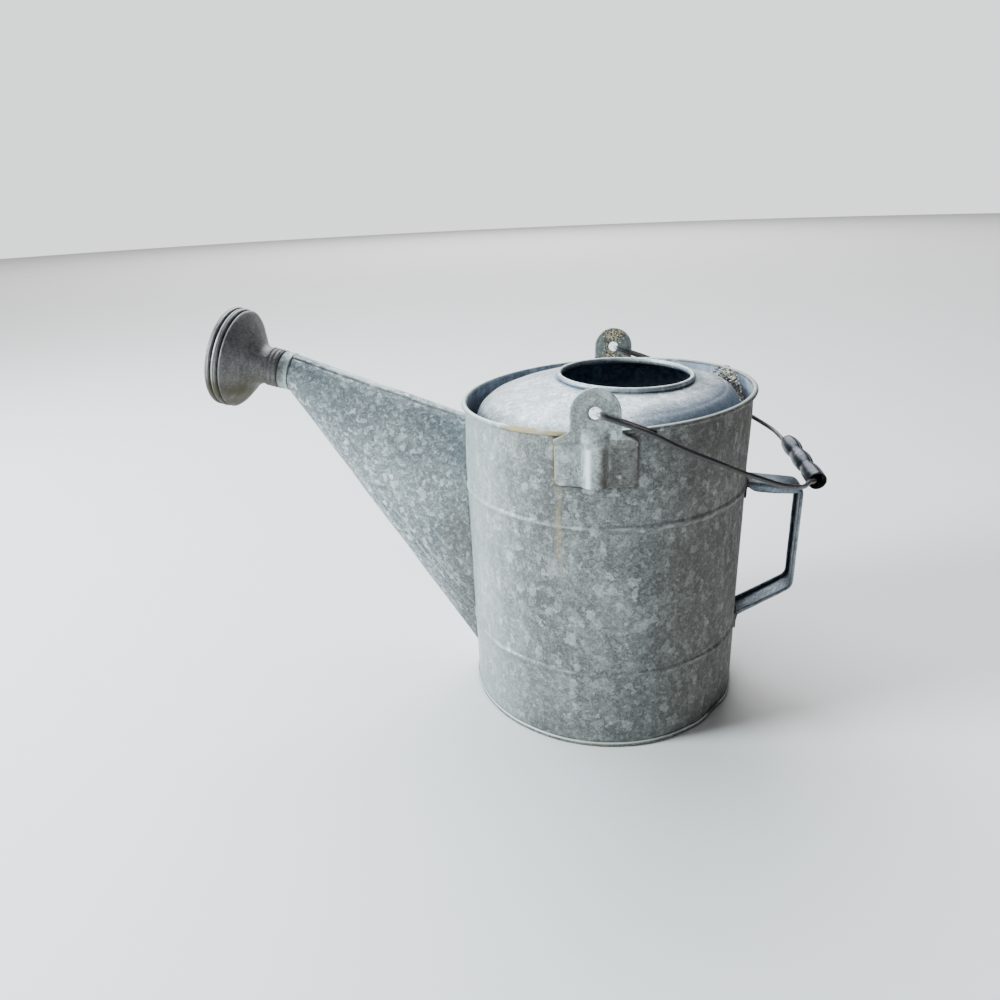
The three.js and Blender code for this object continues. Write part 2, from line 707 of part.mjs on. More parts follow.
const can = new THREE.Group();
can.add(
  buildWall(), buildRimWire(), buildBase(), buildHood(), buildSpout(), buildHandle(),
  buildEar('ear_near', 0, 0), buildEar('ear_far', Math.PI - farEarTurn, farEarDrop),
  rosePlaced(buildFerrule(), buildRoseBell(), buildRoseFace()),
  buildBail(),
);

// The origin is at the middle of the whole object's outline, on the ground
const extent = new THREE.Box3().setFromObject(can, true);
const middle = extent.getCenter(V3());
can.position.set(-middle.x, -middle.y, -extent.min.z);

const group = new THREE.Group();
group.add(can);

export default group;
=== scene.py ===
"""A weathered galvanised watering can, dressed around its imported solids.

Lengths are in millimetres about the can's own axis, with the ground at zero, the spout towards -X and the
near ear towards -Y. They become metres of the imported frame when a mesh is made.
"""
from __future__ import annotations

import logging
import random
from dataclasses import dataclass, field
from enum import Enum
from math import asin, atan2, cos, degrees, exp, hypot, pi, radians, sin, sqrt, tan
from typing import Any, Callable, Iterable, Sequence

import bmesh
import bpy
from mathutils import Matrix, Vector, noise
from mathutils.geometry import delaunay_2d_cdt


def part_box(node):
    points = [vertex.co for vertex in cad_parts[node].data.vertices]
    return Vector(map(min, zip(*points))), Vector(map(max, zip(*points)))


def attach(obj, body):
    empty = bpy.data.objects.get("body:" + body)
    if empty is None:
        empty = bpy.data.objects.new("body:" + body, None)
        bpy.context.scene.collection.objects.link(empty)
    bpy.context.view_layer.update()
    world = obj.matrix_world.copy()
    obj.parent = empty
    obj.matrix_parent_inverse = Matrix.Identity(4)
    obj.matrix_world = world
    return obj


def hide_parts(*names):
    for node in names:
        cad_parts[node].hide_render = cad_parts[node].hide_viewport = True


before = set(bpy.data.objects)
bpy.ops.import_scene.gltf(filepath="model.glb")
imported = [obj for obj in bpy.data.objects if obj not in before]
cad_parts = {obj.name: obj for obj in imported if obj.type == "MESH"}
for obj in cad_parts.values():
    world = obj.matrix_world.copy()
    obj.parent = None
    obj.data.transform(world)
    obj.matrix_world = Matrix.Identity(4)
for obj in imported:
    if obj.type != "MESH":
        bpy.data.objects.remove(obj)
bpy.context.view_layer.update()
LOG = logging.getLogger("watering_can")

MM = 0.001
PAN_LOW, PAN_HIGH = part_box("base_pan")
CAN_AXIS = Vector(((PAN_LOW.x + PAN_HIGH.x) / 2, (PAN_LOW.y + PAN_HIGH.y) / 2, 0))

Line = list[tuple[float, float]]
Grid = tuple[list[Vector], list[tuple[int, ...]]]
Weight = Callable[[Vector], float]


def to_frame(point: Vector) -> Vector:
    """Turns a place in millimetres about the can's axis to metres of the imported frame."""
    return point * MM + CAN_AXIS


def smoothstep(value: float, low: float, high: float) -> float:
    """Goes smoothly from 0 at low to 1 at high."""
    share = min(max((value - low) / (high - low), 0.0), 1.0)
    return share * share * (3 - 2 * share)


def lerp(start: float, end: float, share: float) -> float:
    """The value at a share of the way from start to end."""
    return start + (end - start) * share


def hump(value: float, middle: float, width: float) -> float:
    """A smooth hill of height 1 over its middle."""
    return exp(-((value - middle) / width) ** 2)


def ramp(pairs: Sequence[tuple[float, float]], at: float) -> float:
    """Straight steps between pairs of place and value, held beyond the first and the last.

    Args:
        pairs: Places and values, in order.
        at: The place asked for.

    Returns:
        The value there.
    """
    if at <= pairs[0][0]:
        return pairs[0][1]
    for (low, from_value), (high, to_value) in zip(pairs, pairs[1:]):
        if at <= high:
            return lerp(from_value, to_value, (at - low) / (high - low))
    return pairs[-1][1]


def smooth_curve(points: Sequence[Vector], step: float) -> list[Vector]:
    """Runs a centripetal curve through points.

    Args:
        points: The places that the curve passes, at least two.
        step: The distance between the samples.

    Returns:
        Samples along the curve, with both ends.
    """
    knots = [points[0] * 2 - points[1], *points, points[-1] * 2 - points[-2]]
    samples: list[Vector] = []
    for a, b, c, d in zip(knots, knots[1:], knots[2:], knots[3:]):
        t0 = 0.0
        t1 = t0 + max((b - a).length ** 0.5, 1e-6)
        t2 = t1 + max((c - b).length ** 0.5, 1e-6)
        t3 = t2 + max((d - c).length ** 0.5, 1e-6)
        count = max(1, round((c - b).length / step))
        for i in range(count):
            t = t1 + (t2 - t1) * i / count
            ab = a.lerp(b, (t - t0) / (t1 - t0))
            bc = b.lerp(c, (t - t1) / (t2 - t1))
            cd = c.lerp(d, (t - t2) / (t3 - t2))
            abc = ab.lerp(bc, (t - t0) / (t2 - t0))
            bcd = bc.lerp(cd, (t - t1) / (t3 - t1))
            samples.append(abc.lerp(bcd, (t - t1) / (t2 - t1)))
    samples.append(points[-1].copy())
    return samples


def smooth_line(line: Line, step: float) -> Line:
    """Runs a smooth curve through a flat line of radius and height points."""
    curve = smooth_curve([Vector((r, 0, z)) for r, z in line], step)
    return [(point.x, point.z) for point in curve]


def arc(centre: tuple[float, float], radius: float, start: float, end: float, steps: int) -> Line:
    """Points on an arc in radius and height, its angles in degrees."""
    angles = [radians(lerp(start, end, i / steps)) for i in range(steps + 1)]
    return [(centre[0] + radius * cos(a), centre[1] + radius * sin(a)) for a in angles]


def polar(radius: float, angle: float, height: float) -> Vector:
    """A place at a radius, an angle in radians and a height about an upright axis."""
    return Vector((radius * cos(angle), radius * sin(angle), height))


def circle(x: float, y: float, radius: float, count: int) -> Line:
    """The corners of a circle about a flat place."""
    turns = [2 * pi * k / count for k in range(count)]
    return [(x + radius * cos(a), y + radius * sin(a)) for a in turns]


def round_angles(count: int, fine: Iterable[float] = ()) -> list[float]:
    """Even angles for a full turn, with extra ones where a narrow feature needs them.

    Args:
        count: How many even angles.
        fine: Extra angles in radians.

    Returns:
        All angles in order, without near doubles.
    """
    angles = sorted([*(2 * pi * i / count for i in range(count)), *(a % (2 * pi) for a in fine)])
    return [a for i, a in enumerate(angles) if i == 0 or a - angles[i - 1] > 1e-3]


def grid_faces(rows: int, columns: int, closed: bool) -> list[tuple[int, ...]]:
    """Four-sided faces of a grid of rows and columns, joined across its ends when closed.

    Args:
        rows: How many rows of points.
        columns: How many points a row has.
        closed: Whether each row is a ring.

    Returns:
        The faces, as point numbers.
    """
    faces = []
    for row in range(rows - 1):
        for column in range(columns if closed else columns - 1):
            after = (column + 1) % columns
            faces.append((row * columns + column, row * columns + after,
                          (row + 1) * columns + after, (row + 1) * columns + column))
    return faces


def joined(parts: Iterable[Grid]) -> Grid:
    """Joins several grids into one.

    Args:
        parts: The grids.

    Returns:
        All their vertices and faces.
    """
    vertices: list[Vector] = []
    faces: list[tuple[int, ...]] = []
    for points, sides in parts:
        first = len(vertices)
        vertices += points
        faces += [tuple(i + first for i in side) for side in sides]
    return vertices, faces


def turned(line: Line, angles: Sequence[float], place: Callable[[float, float, float], Vector]) -> Grid:
    """Turns a line about an axis.

    Args:
        line: Radius and height points.
        angles: The angles of the columns.
        place: Gives the place for a radius, an angle and a height.

    Returns:
        The vertices and the faces.
    """
    vertices = [place(r, angle, z) for r, z in line for angle in angles]
    return vertices, grid_faces(len(line), len(angles), True)


def tube(path: Sequence[Vector], radius: float | Callable[[int], float], sides: int) -> Grid:
    """A round rod along a path, with domed ends.

    Args:
        path: Points close together.
        radius: The radius, or a function of the point's number.
        sides: How many faces go round.

    Returns:
        The vertices and the faces.
    """
    vertices: list[Vector] = []
    across = None
    for i, point in enumerate(path):
        along = (path[min(i + 1, len(path) - 1)] - path[max(i - 1, 0)]).normalized()
        if across is None:
            across = along.orthogonal()
        across = (across - along * across.dot(along)).normalized()
        lift = along.cross(across)
        size = radius(i) if callable(radius) else radius
        for k in range(sides):
            angle = 2 * pi * k / sides
            vertices.append(point + (across * cos(angle) + lift * sin(angle)) * size)
    faces = grid_faces(len(path), sides, True)
    for end, ring in ((0, range(sides)), (len(path) - 1, range((len(path) - 1) * sides, len(path) * sides))):
        outward = (path[end] - path[1 if end == 0 else -2]).normalized()
        size = radius(end) if callable(radius) else radius
        vertices.append(path[end] + outward * size * 0.25)
        tip = len(vertices) - 1
        ids = list(ring)
        for k in range(sides):
            pair = (ids[k], ids[(k + 1) % sides])
            faces.append((*(pair if end else pair[::-1]), tip))
    return vertices, faces


def cut_sheet(outline: Sequence[tuple[float, float]], holes: Sequence[Sequence[tuple[float, float]]],
              spacing: float) -> tuple[list[tuple[float, float]], list[tuple[int, ...]]]:
    """Fills a flat outline with an even net of triangles and leaves its holes open.

    Args:
        outline: The corners of the outline, in order.
        holes: The corners of each hole.
        spacing: The distance between the inner points.

    Returns:
        The flat points and the triangles.
    """
    def inside(x: float, y: float, loop: Sequence[tuple[float, float]]) -> bool:
        """Tells whether a point lies within a loop.

        Args:
            x: The point's first measure.
            y: Its second.
            loop: The loop's corners.

        Returns:
            True for a point within it.
        """
        hit = False
        for (ax, ay), (bx, by) in zip(loop, [*loop[1:], loop[0]]):
            if (ay > y) != (by > y) and x < (bx - ax) * (y - ay) / (by - ay) + ax:
                hit = not hit
        return hit

    def nearest(x: float, y: float, loop: Sequence[tuple[float, float]]) -> float:
        """The distance from a point to the closest corner of a loop."""
        return min(hypot(x - px, y - py) for px, py in loop)

    loops = [list(outline), *[list(hole) for hole in holes]]
    points: list[Vector] = []
    edges = []
    for loop in loops:
        first = len(points)
        points += [Vector(corner) for corner in loop]
        edges += [(first + i, first + (i + 1) % len(loop)) for i in range(len(loop))]
    xs, ys = [p[0] for p in outline], [p[1] for p in outline]
    row = 0
    y = min(ys)
    while y < max(ys):
        x = min(xs) + (row % 2) * spacing / 2
        while x < max(xs):
            clear = all(nearest(x, y, loop) > 0.6 * spacing for loop in loops)
            if clear and inside(x, y, outline) and not any(inside(x, y, hole) for hole in holes):
                points.append(Vector((x, y)))
            x += spacing
        y += spacing * 0.866
        row += 1
    net = delaunay_2d_cdt(points, edges, [], 0, 1e-5)
    flat = [(p.x, p.y) for p in net[0]]
    triangles = []
    for face in net[2]:
        cx = sum(flat[i][0] for i in face) / len(face)
        cy = sum(flat[i][1] for i in face) / len(face)
        if inside(cx, cy, outline) and not any(inside(cx, cy, hole) for hole in holes):
            triangles.append(tuple(face))
    return flat, triangles


class Body(Enum):
    """The moving bodies that a piece can ride on."""

    CAN = "can"
    ROSE = "rose"
    BAIL = "bail"
    GRIP = "grip"


class Slot(Enum):
    """The record's material slots."""

    WALL = "weathered_galvanised_sheet"
    RIM_WIRE = "rim_wire_steel"
    BASE = "base_galvanised_sheet"
    HOOD = "pale_galvanised_hood"
    SPOUT = "spout_galvanised_sheet"
    HANDLE = "handle_galvanised_strap"
    EAR = "ear_galvanised_plate"
    FERRULE = "ferrule_galvanised_sheet"
    ROSE = "dull_rose_zinc"
    WIRE = "rusty_bail_wire"
    GRIP = "dark_grip_zinc"


def make_piece(name: str, grid: Grid, body: Body, slot: Slot, material: bpy.types.Material,
               replaces: Sequence[str] = (), thickness: float = 0.0, grow: float = 0.0,
               paints: dict[str, Weight] | None = None, inside: bpy.types.Material | None = None,
               rolled: Callable[[Vector], bool] | None = None) -> bpy.types.Object:
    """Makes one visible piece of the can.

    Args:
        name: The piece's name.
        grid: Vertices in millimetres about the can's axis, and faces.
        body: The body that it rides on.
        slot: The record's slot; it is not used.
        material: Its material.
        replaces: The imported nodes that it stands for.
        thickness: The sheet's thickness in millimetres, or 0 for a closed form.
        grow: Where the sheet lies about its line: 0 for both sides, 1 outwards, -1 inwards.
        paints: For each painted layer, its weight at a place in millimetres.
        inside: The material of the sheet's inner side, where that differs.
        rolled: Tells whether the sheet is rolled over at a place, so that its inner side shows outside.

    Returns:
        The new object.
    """
    vertices, faces = grid
    mesh = bpy.data.meshes.new(name)
    mesh.from_pydata([to_frame(v) for v in vertices], [], faces)
    work = bmesh.new()
    work.from_mesh(mesh)
    bmesh.ops.remove_doubles(work, verts=work.verts, dist=2e-6)
    bmesh.ops.recalc_face_normals(work, faces=work.faces)
    middle = sum((v.co for v in work.verts), Vector()) / len(work.verts)
    if sum((f.calc_center_median() - middle).dot(f.normal) * f.calc_area() for f in work.faces) < 0:
        bmesh.ops.reverse_faces(work, faces=work.faces)
    work.to_mesh(mesh)
    work.free()
    for polygon in mesh.polygons:
        polygon.use_smooth = True
    for layer, weight in (paints or {}).items():
        values = mesh.attributes.new(layer, "FLOAT", "POINT")
        values.data.foreach_set("value", [
            min(max(weight((vertex.co - CAN_AXIS) / MM), 0.0), 1.0) for vertex in mesh.vertices])
    mesh.materials.append(material)
    piece = bpy.data.objects.new(name, mesh)
    bpy.context.scene.collection.objects.link(piece)
    if inside:
        mesh.materials.append(inside)
        mesh.materials.append(material)
        for polygon in mesh.polygons:
            polygon.material_index = int(bool(rolled and rolled((polygon.center - CAN_AXIS) / MM)))
    if thickness:
        solid = piece.modifiers.new("sheet", "SOLIDIFY")
        solid.thickness = thickness * MM
        solid.offset = grow
        solid.use_even_offset = True
        solid.thickness_clamp = 0.0
        solid.material_offset = 1 if inside else 0
    if replaces:
        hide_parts(*replaces)
    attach(piece, body.value)
    LOG.info("%s: %d faces, rides on %s", name, len(faces), body.value)
    return piece


# Finishes


def linear(hex_colour: str) -> tuple[float, float, float, float]:
    """Turns an sRGB hex value to a linear colour.

    Args:
        hex_colour: Six digits after a hash sign.

    Returns:
        Red, green, blue and an alpha of 1.
    """
    parts = [int(hex_colour[i:i + 2], 16) / 255 for i in (1, 3, 5)]
    parts = [c / 12.92 if c <= 0.04045 else ((c + 0.055) / 1.055) ** 2.4 for c in parts]
    return (*parts, 1.0)


def node(tree: bpy.types.NodeTree, kind: str, inputs: dict[str | int, Any] | None = None,
         **settings: Any) -> bpy.types.Node:
    """Adds one shader node.

    Args:
        tree: The tree that it goes into.
        kind: The node's type, without the ShaderNode in front.
        inputs: A value or an output to link for each input, by name or number.
        settings: Its properties.

    Returns:
        The new node.
    """
    new = tree.nodes.new("ShaderNode" + kind)
    for key, value in settings.items():
        setattr(new, key, value)
    for key, value in (inputs or {}).items():
        if isinstance(value, bpy.types.NodeSocket):
            tree.links.new(value, new.inputs[key])
        else:
            new.inputs[key].default_value = value
    return new


def new_material(name: str) -> tuple[bpy.types.Material, bpy.types.NodeTree, bpy.types.Node]:
    """A material with an empty tree and its main shader.

    Args:
        name: The material's name.

    Returns:
        The material, its tree and the shader node.
    """
    material = bpy.data.materials.new(name)
    material.use_nodes = True
    tree = material.node_tree
    tree.nodes.clear()
    shader = node(tree, "BsdfPrincipled")
    node(tree, "OutputMaterial", {"Surface": shader.outputs[0]})
    return material, tree, shader


@dataclass(frozen=True)
class GalvanisedSheet:
    """Hot-dip galvanised steel sheet, weathered outdoors.

    The zinc froze in flat crystals, so the eye sees pale angular flakes on a mid grey, all dull with zinc
    oxide. Rain has left streaks, rust from the folds has run down in yellow, and the corners are darker,
    partly with dirt and partly with painted shade. The layers also carry painted highlights on crests and
    edges.
    """

    name: str
    base: str = "#868a89"
    pale: str = "#c2c8c7"
    dark: str = "#5a5d5c"
    flake_mm: float = 6.4           # large crystals
    grain_mm: float = 2.8           # small ones between them
    flake_share: float = 0.36       # how strongly the flakes show
    stain: str = "#a59873"
    # Tint of the layer of real dirt that also carries painted shade.
    grime_and_shade: str = "#483f34"
    # Tint of the layer of worn zinc that also carries painted highlights and painted light.
    bright: str = "#d4e0e1"
    metallic: float = 0.55
    roughness: float = 0.5
    streaks: float = 0.5
    bump_mm: float = 0.05

    def build(self) -> bpy.types.Material:
        """Makes the material.

        Returns:
            The new material.
        """
        material, tree, shader = new_material(self.name)
        place = node(tree, "TexCoord").outputs["Object"]
        wobble = node(tree, "TexNoise", {"Vector": place, "Scale": 240.0, "Detail": 5.0, "Roughness": 0.62})
        shift = node(tree, "VectorMath", {
            0: wobble.outputs["Color"], 1: (0.0075, 0.0075, 0.0075), 2: place}, operation="MULTIPLY_ADD")
        warped = shift.outputs["Vector"]
        turned_place = node(tree, "Mapping", {
            "Vector": warped, "Rotation": (0.5, 0.9, 0.4), "Scale": (1.0, 1.7, 0.8)})
        flakes = node(tree, "TexVoronoi", {"Vector": turned_place.outputs[0], "Scale": 1000 / self.flake_mm})
        grains = node(tree, "TexVoronoi", {
            "Vector": warped, "Scale": 1000 / self.grain_mm, "Smoothness": 0.15}, feature="SMOOTH_F1")
        flake = node(tree, "SeparateColor", {0: flakes.outputs["Color"]}).outputs[0]
        grain = node(tree, "SeparateColor", {0: grains.outputs["Color"]}).outputs[1]
        flake = node(tree, "Math", {0: flake, 1: 4.6}, operation="POWER").outputs[0]
        grain = node(tree, "Math", {0: grain, 1: 2.4}, operation="POWER").outputs[0]
        fall = node(tree, "Mapping", {"Vector": place, "Scale": (1.0, 1.0, 0.09)}).outputs[0]
        clouds, speckle, rain, blotch, crumbs = [
            node(tree, "TexNoise", {
                "Vector": way, "Scale": scale, "Detail": detail, "Roughness": rough}).outputs[0]
            for way, scale, detail, rough in (
                (place, 16.0, 4.0, 0.6), (place, 620.0, 4.0, 0.7), (fall, 130.0, 5.0, 0.62),
                (fall, 210.0, 6.0, 0.7), (place, 420.0, 6.0, 0.75))]
        tone = node(tree, "Math", {
            0: flake, 1: self.flake_share, 2: 0.16}, operation="MULTIPLY_ADD").outputs[0]
        for layer, share, middle in ((grain, 0.7 * self.flake_share, 0.3), (clouds, 0.62, 0.5),
                                     (speckle, 0.95, 0.5), (rain, 0.7 * self.streaks, 0.5)):
            centred = node(tree, "Math", {0: layer, 1: middle}, operation="SUBTRACT").outputs[0]
            tone = node(tree, "Math", {0: centred, 1: share, 2: tone}, operation="MULTIPLY_ADD").outputs[0]
        colours = node(tree, "ValToRGB", {0: tone})
        ramp_stops = colours.color_ramp
        ramp_stops.elements[0].position, ramp_stops.elements[0].color = 0.0, linear(self.dark)
        ramp_stops.elements[1].position, ramp_stops.elements[1].color = 0.85, linear(self.pale)
        ramp_stops.elements.new(0.3).color = linear(self.base)
        colour = colours.outputs["Color"]
        covered = None
        # Layers: bright is worn zinc plus painted highlights and painted light, stain is real stains, and the
        # last is real dirt plus painted shade.
        layers = (("bright", self.bright, 0.35, crumbs), ("stain", self.stain, 0.55, blotch),
                  ("grime_and_shade", self.grime_and_shade, 0.6, crumbs))
        for layer, tint, edge, breakup in layers:
            painted = node(tree, "Attribute", attribute_name=layer).outputs["Fac"]
            lifted = node(tree, "Math", {
                0: breakup, 1: edge, 2: painted}, operation="MULTIPLY_ADD").outputs[0]
            cover = node(tree, "MapRange", {
                "Value": lifted, "From Min": edge * 0.5 + 0.12, "From Max": edge * 0.5 + 0.95},
                interpolation_type="SMOOTHSTEP").outputs[0]
            mixed = node(tree, "Mix", {0: cover, 6: colour, 7: linear(tint)}, data_type="RGBA")
            colour = mixed.outputs[2]
            if layer != "bright":
                both = {0: covered, 1: cover}
                covered = node(tree, "Math", both, operation="MAXIMUM").outputs[0] if covered else cover
        tree.links.new(colour, shader.inputs["Base Color"])
        bare = node(tree, "Math", {0: 1.0, 1: covered}, operation="SUBTRACT").outputs[0]
        metal = node(tree, "Math", {0: bare, 1: self.metallic}, operation="MULTIPLY").outputs[0]
        rough = node(tree, "MapRange", {
            "Value": tone, "To Min": self.roughness + 0.1, "To Max": self.roughness - 0.1}).outputs[0]
        rough = node(tree, "Math", {0: covered, 1: 0.35, 2: rough}, operation="MULTIPLY_ADD").outputs[0]
        tree.links.new(metal, shader.inputs["Metallic"])
        tree.links.new(rough, shader.inputs["Roughness"])
        relief = node(tree, "Math", {0: flake, 1: 0.35, 2: speckle}, operation="MULTIPLY_ADD").outputs[0]
        relief = node(tree, "Math", {0: covered, 1: 1.4, 2: relief}, operation="MULTIPLY_ADD").outputs[0]
        bump = node(tree, "Bump", {"Height": relief, "Strength": 0.6, "Distance": self.bump_mm * MM * 3})
        tree.links.new(bump.outputs[0], shader.inputs["Normal"])
        return material


@dataclass(frozen=True)
class RustedWire:
    """Hard-drawn steel wire that has lost its zinc: dull dark grey, with brown rust in rough patches."""

    name: str
    steel: str = "#484748"
    worn: str = "#a9adae"
    rust: str = "#574036"
    deep_rust: str = "#362a25"
    rust_share: float = 0.5
    roughness: float = 0.42

    def build(self) -> bpy.types.Material:
        """Makes the material.

        Returns:
            The new material.
        """
        material, tree, shader = new_material(self.name)
        place = node(tree, "TexCoord").outputs["Object"]
        patches = node(tree, "TexNoise", {
            "Vector": place, "Scale": 55.0, "Detail": 6.0, "Roughness": 0.68}).outputs["Fac"]
        grit = node(tree, "TexNoise", {
            "Vector": place, "Scale": 900.0, "Detail": 3.0, "Roughness": 0.7}).outputs["Fac"]
        cover = node(tree, "MapRange", {"Value": patches, "From Min": 0.66 - 0.22 * self.rust_share,
            "From Max": 0.78 - 0.22 * self.rust_share}, interpolation_type="SMOOTHSTEP").outputs[0]
        rust = node(tree, "Mix", {
            0: grit, 6: linear(self.deep_rust), 7: linear(self.rust)}, data_type="RGBA").outputs[2]
        colour = node(tree, "Mix", {0: cover, 6: linear(self.steel), 7: rust}, data_type="RGBA").outputs[2]
        wear_and_highlight = node(tree, "Attribute", attribute_name="bright").outputs["Fac"]
        colour = node(tree, "Mix", {0: wear_and_highlight, 6: colour, 7: linear(self.worn)}, data_type="RGBA").outputs[2]
        metal = node(tree, "MapRange", {"Value": cover, "To Min": 0.75, "To Max": 0.0}).outputs[0]
        rough = node(tree, "MapRange", {"Value": cover, "To Min": self.roughness, "To Max": 0.9}).outputs[0]
        bump = node(tree, "Bump", {"Height": grit, "Strength": 0.5, "Distance": 0.00022})
        for socket, source in (("Base Color", colour), ("Metallic", metal), ("Roughness", rough),
                               ("Normal", bump.outputs[0])):
            tree.links.new(source, shader.inputs[socket])
        return material


@dataclass(frozen=True)
class LooseMatter:
    """Dry plant bits and soil: matt, uneven, brown to straw."""

    name: str
    dark: str
    pale: str
    grain_mm: float = 2.0
    roughness: float = 0.9

    def build(self) -> bpy.types.Material:
        """Makes the material.

        Returns:
            The new material.
        """
        material, tree, shader = new_material(self.name)
        place = node(tree, "TexCoord").outputs["Object"]
        mottle = node(tree, "TexNoise", {
            "Vector": place, "Scale": 1000 / self.grain_mm, "Detail": 5.0, "Roughness": 0.7}).outputs["Fac"]
        colours = node(tree, "ValToRGB", {0: mottle})
        colours.color_ramp.elements[0].position = 0.3
        colours.color_ramp.elements[0].color = linear(self.dark)
        colours.color_ramp.elements[1].position = 0.7
        colours.color_ramp.elements[1].color = linear(self.pale)
        bump = node(tree, "Bump", {"Height": mottle, "Strength": 0.7, "Distance": 0.0004})
        tree.links.new(colours.outputs["Color"], shader.inputs["Base Color"])
        tree.links.new(bump.outputs[0], shader.inputs["Normal"])
        shader.inputs["Roughness"].default_value = self.roughness
        return material


def inner_side() -> bpy.types.Material:
    """The sheet's inner side: a copy of the sheet painted bluish for the cool light it lies in, as it reads
    through the mouth.

    The layers are painted for the outer side, so their tints are turned round here: the outside's painted
    light on the left reads as painted shade on the inner wall, and its painted shade on the right reads as
    painted light.

    Returns:
        The material, made at the first call.
    """
    name = "galvanised_sheet_inside"
    # The pale tint paints light on the right inner wall; the dark brown one paints shade on the left inner
    # wall.
    return bpy.data.materials.get(name) or GalvanisedSheet(
        name, base="#8090a8", pale="#a9b5c8", dark="#4b5668", flake_share=0.25, streaks=0.9, metallic=0.35,
        grime_and_shade="#97a2b0", stain="#8f959c", bright="#5b5751").build()


# Sub-assemblies


@dataclass(frozen=True)
class Dent:
    """One dent in the wall: where it is, how deep and how wide."""

    angle: float            # degrees about the can's axis
    height: float
    depth: float
    width: float            # along the wall's round
    tall: float

    def at(self, angle: float, height: float, radius: float) -> float:
        """How far this dent pushes the wall in at an angle in radians and a height."""
        turn = (angle - radians(self.angle) + pi) % (2 * pi) - pi
        return self.depth * hump(turn * radius, 0.0, self.width) * hump(height, self.height, self.tall)


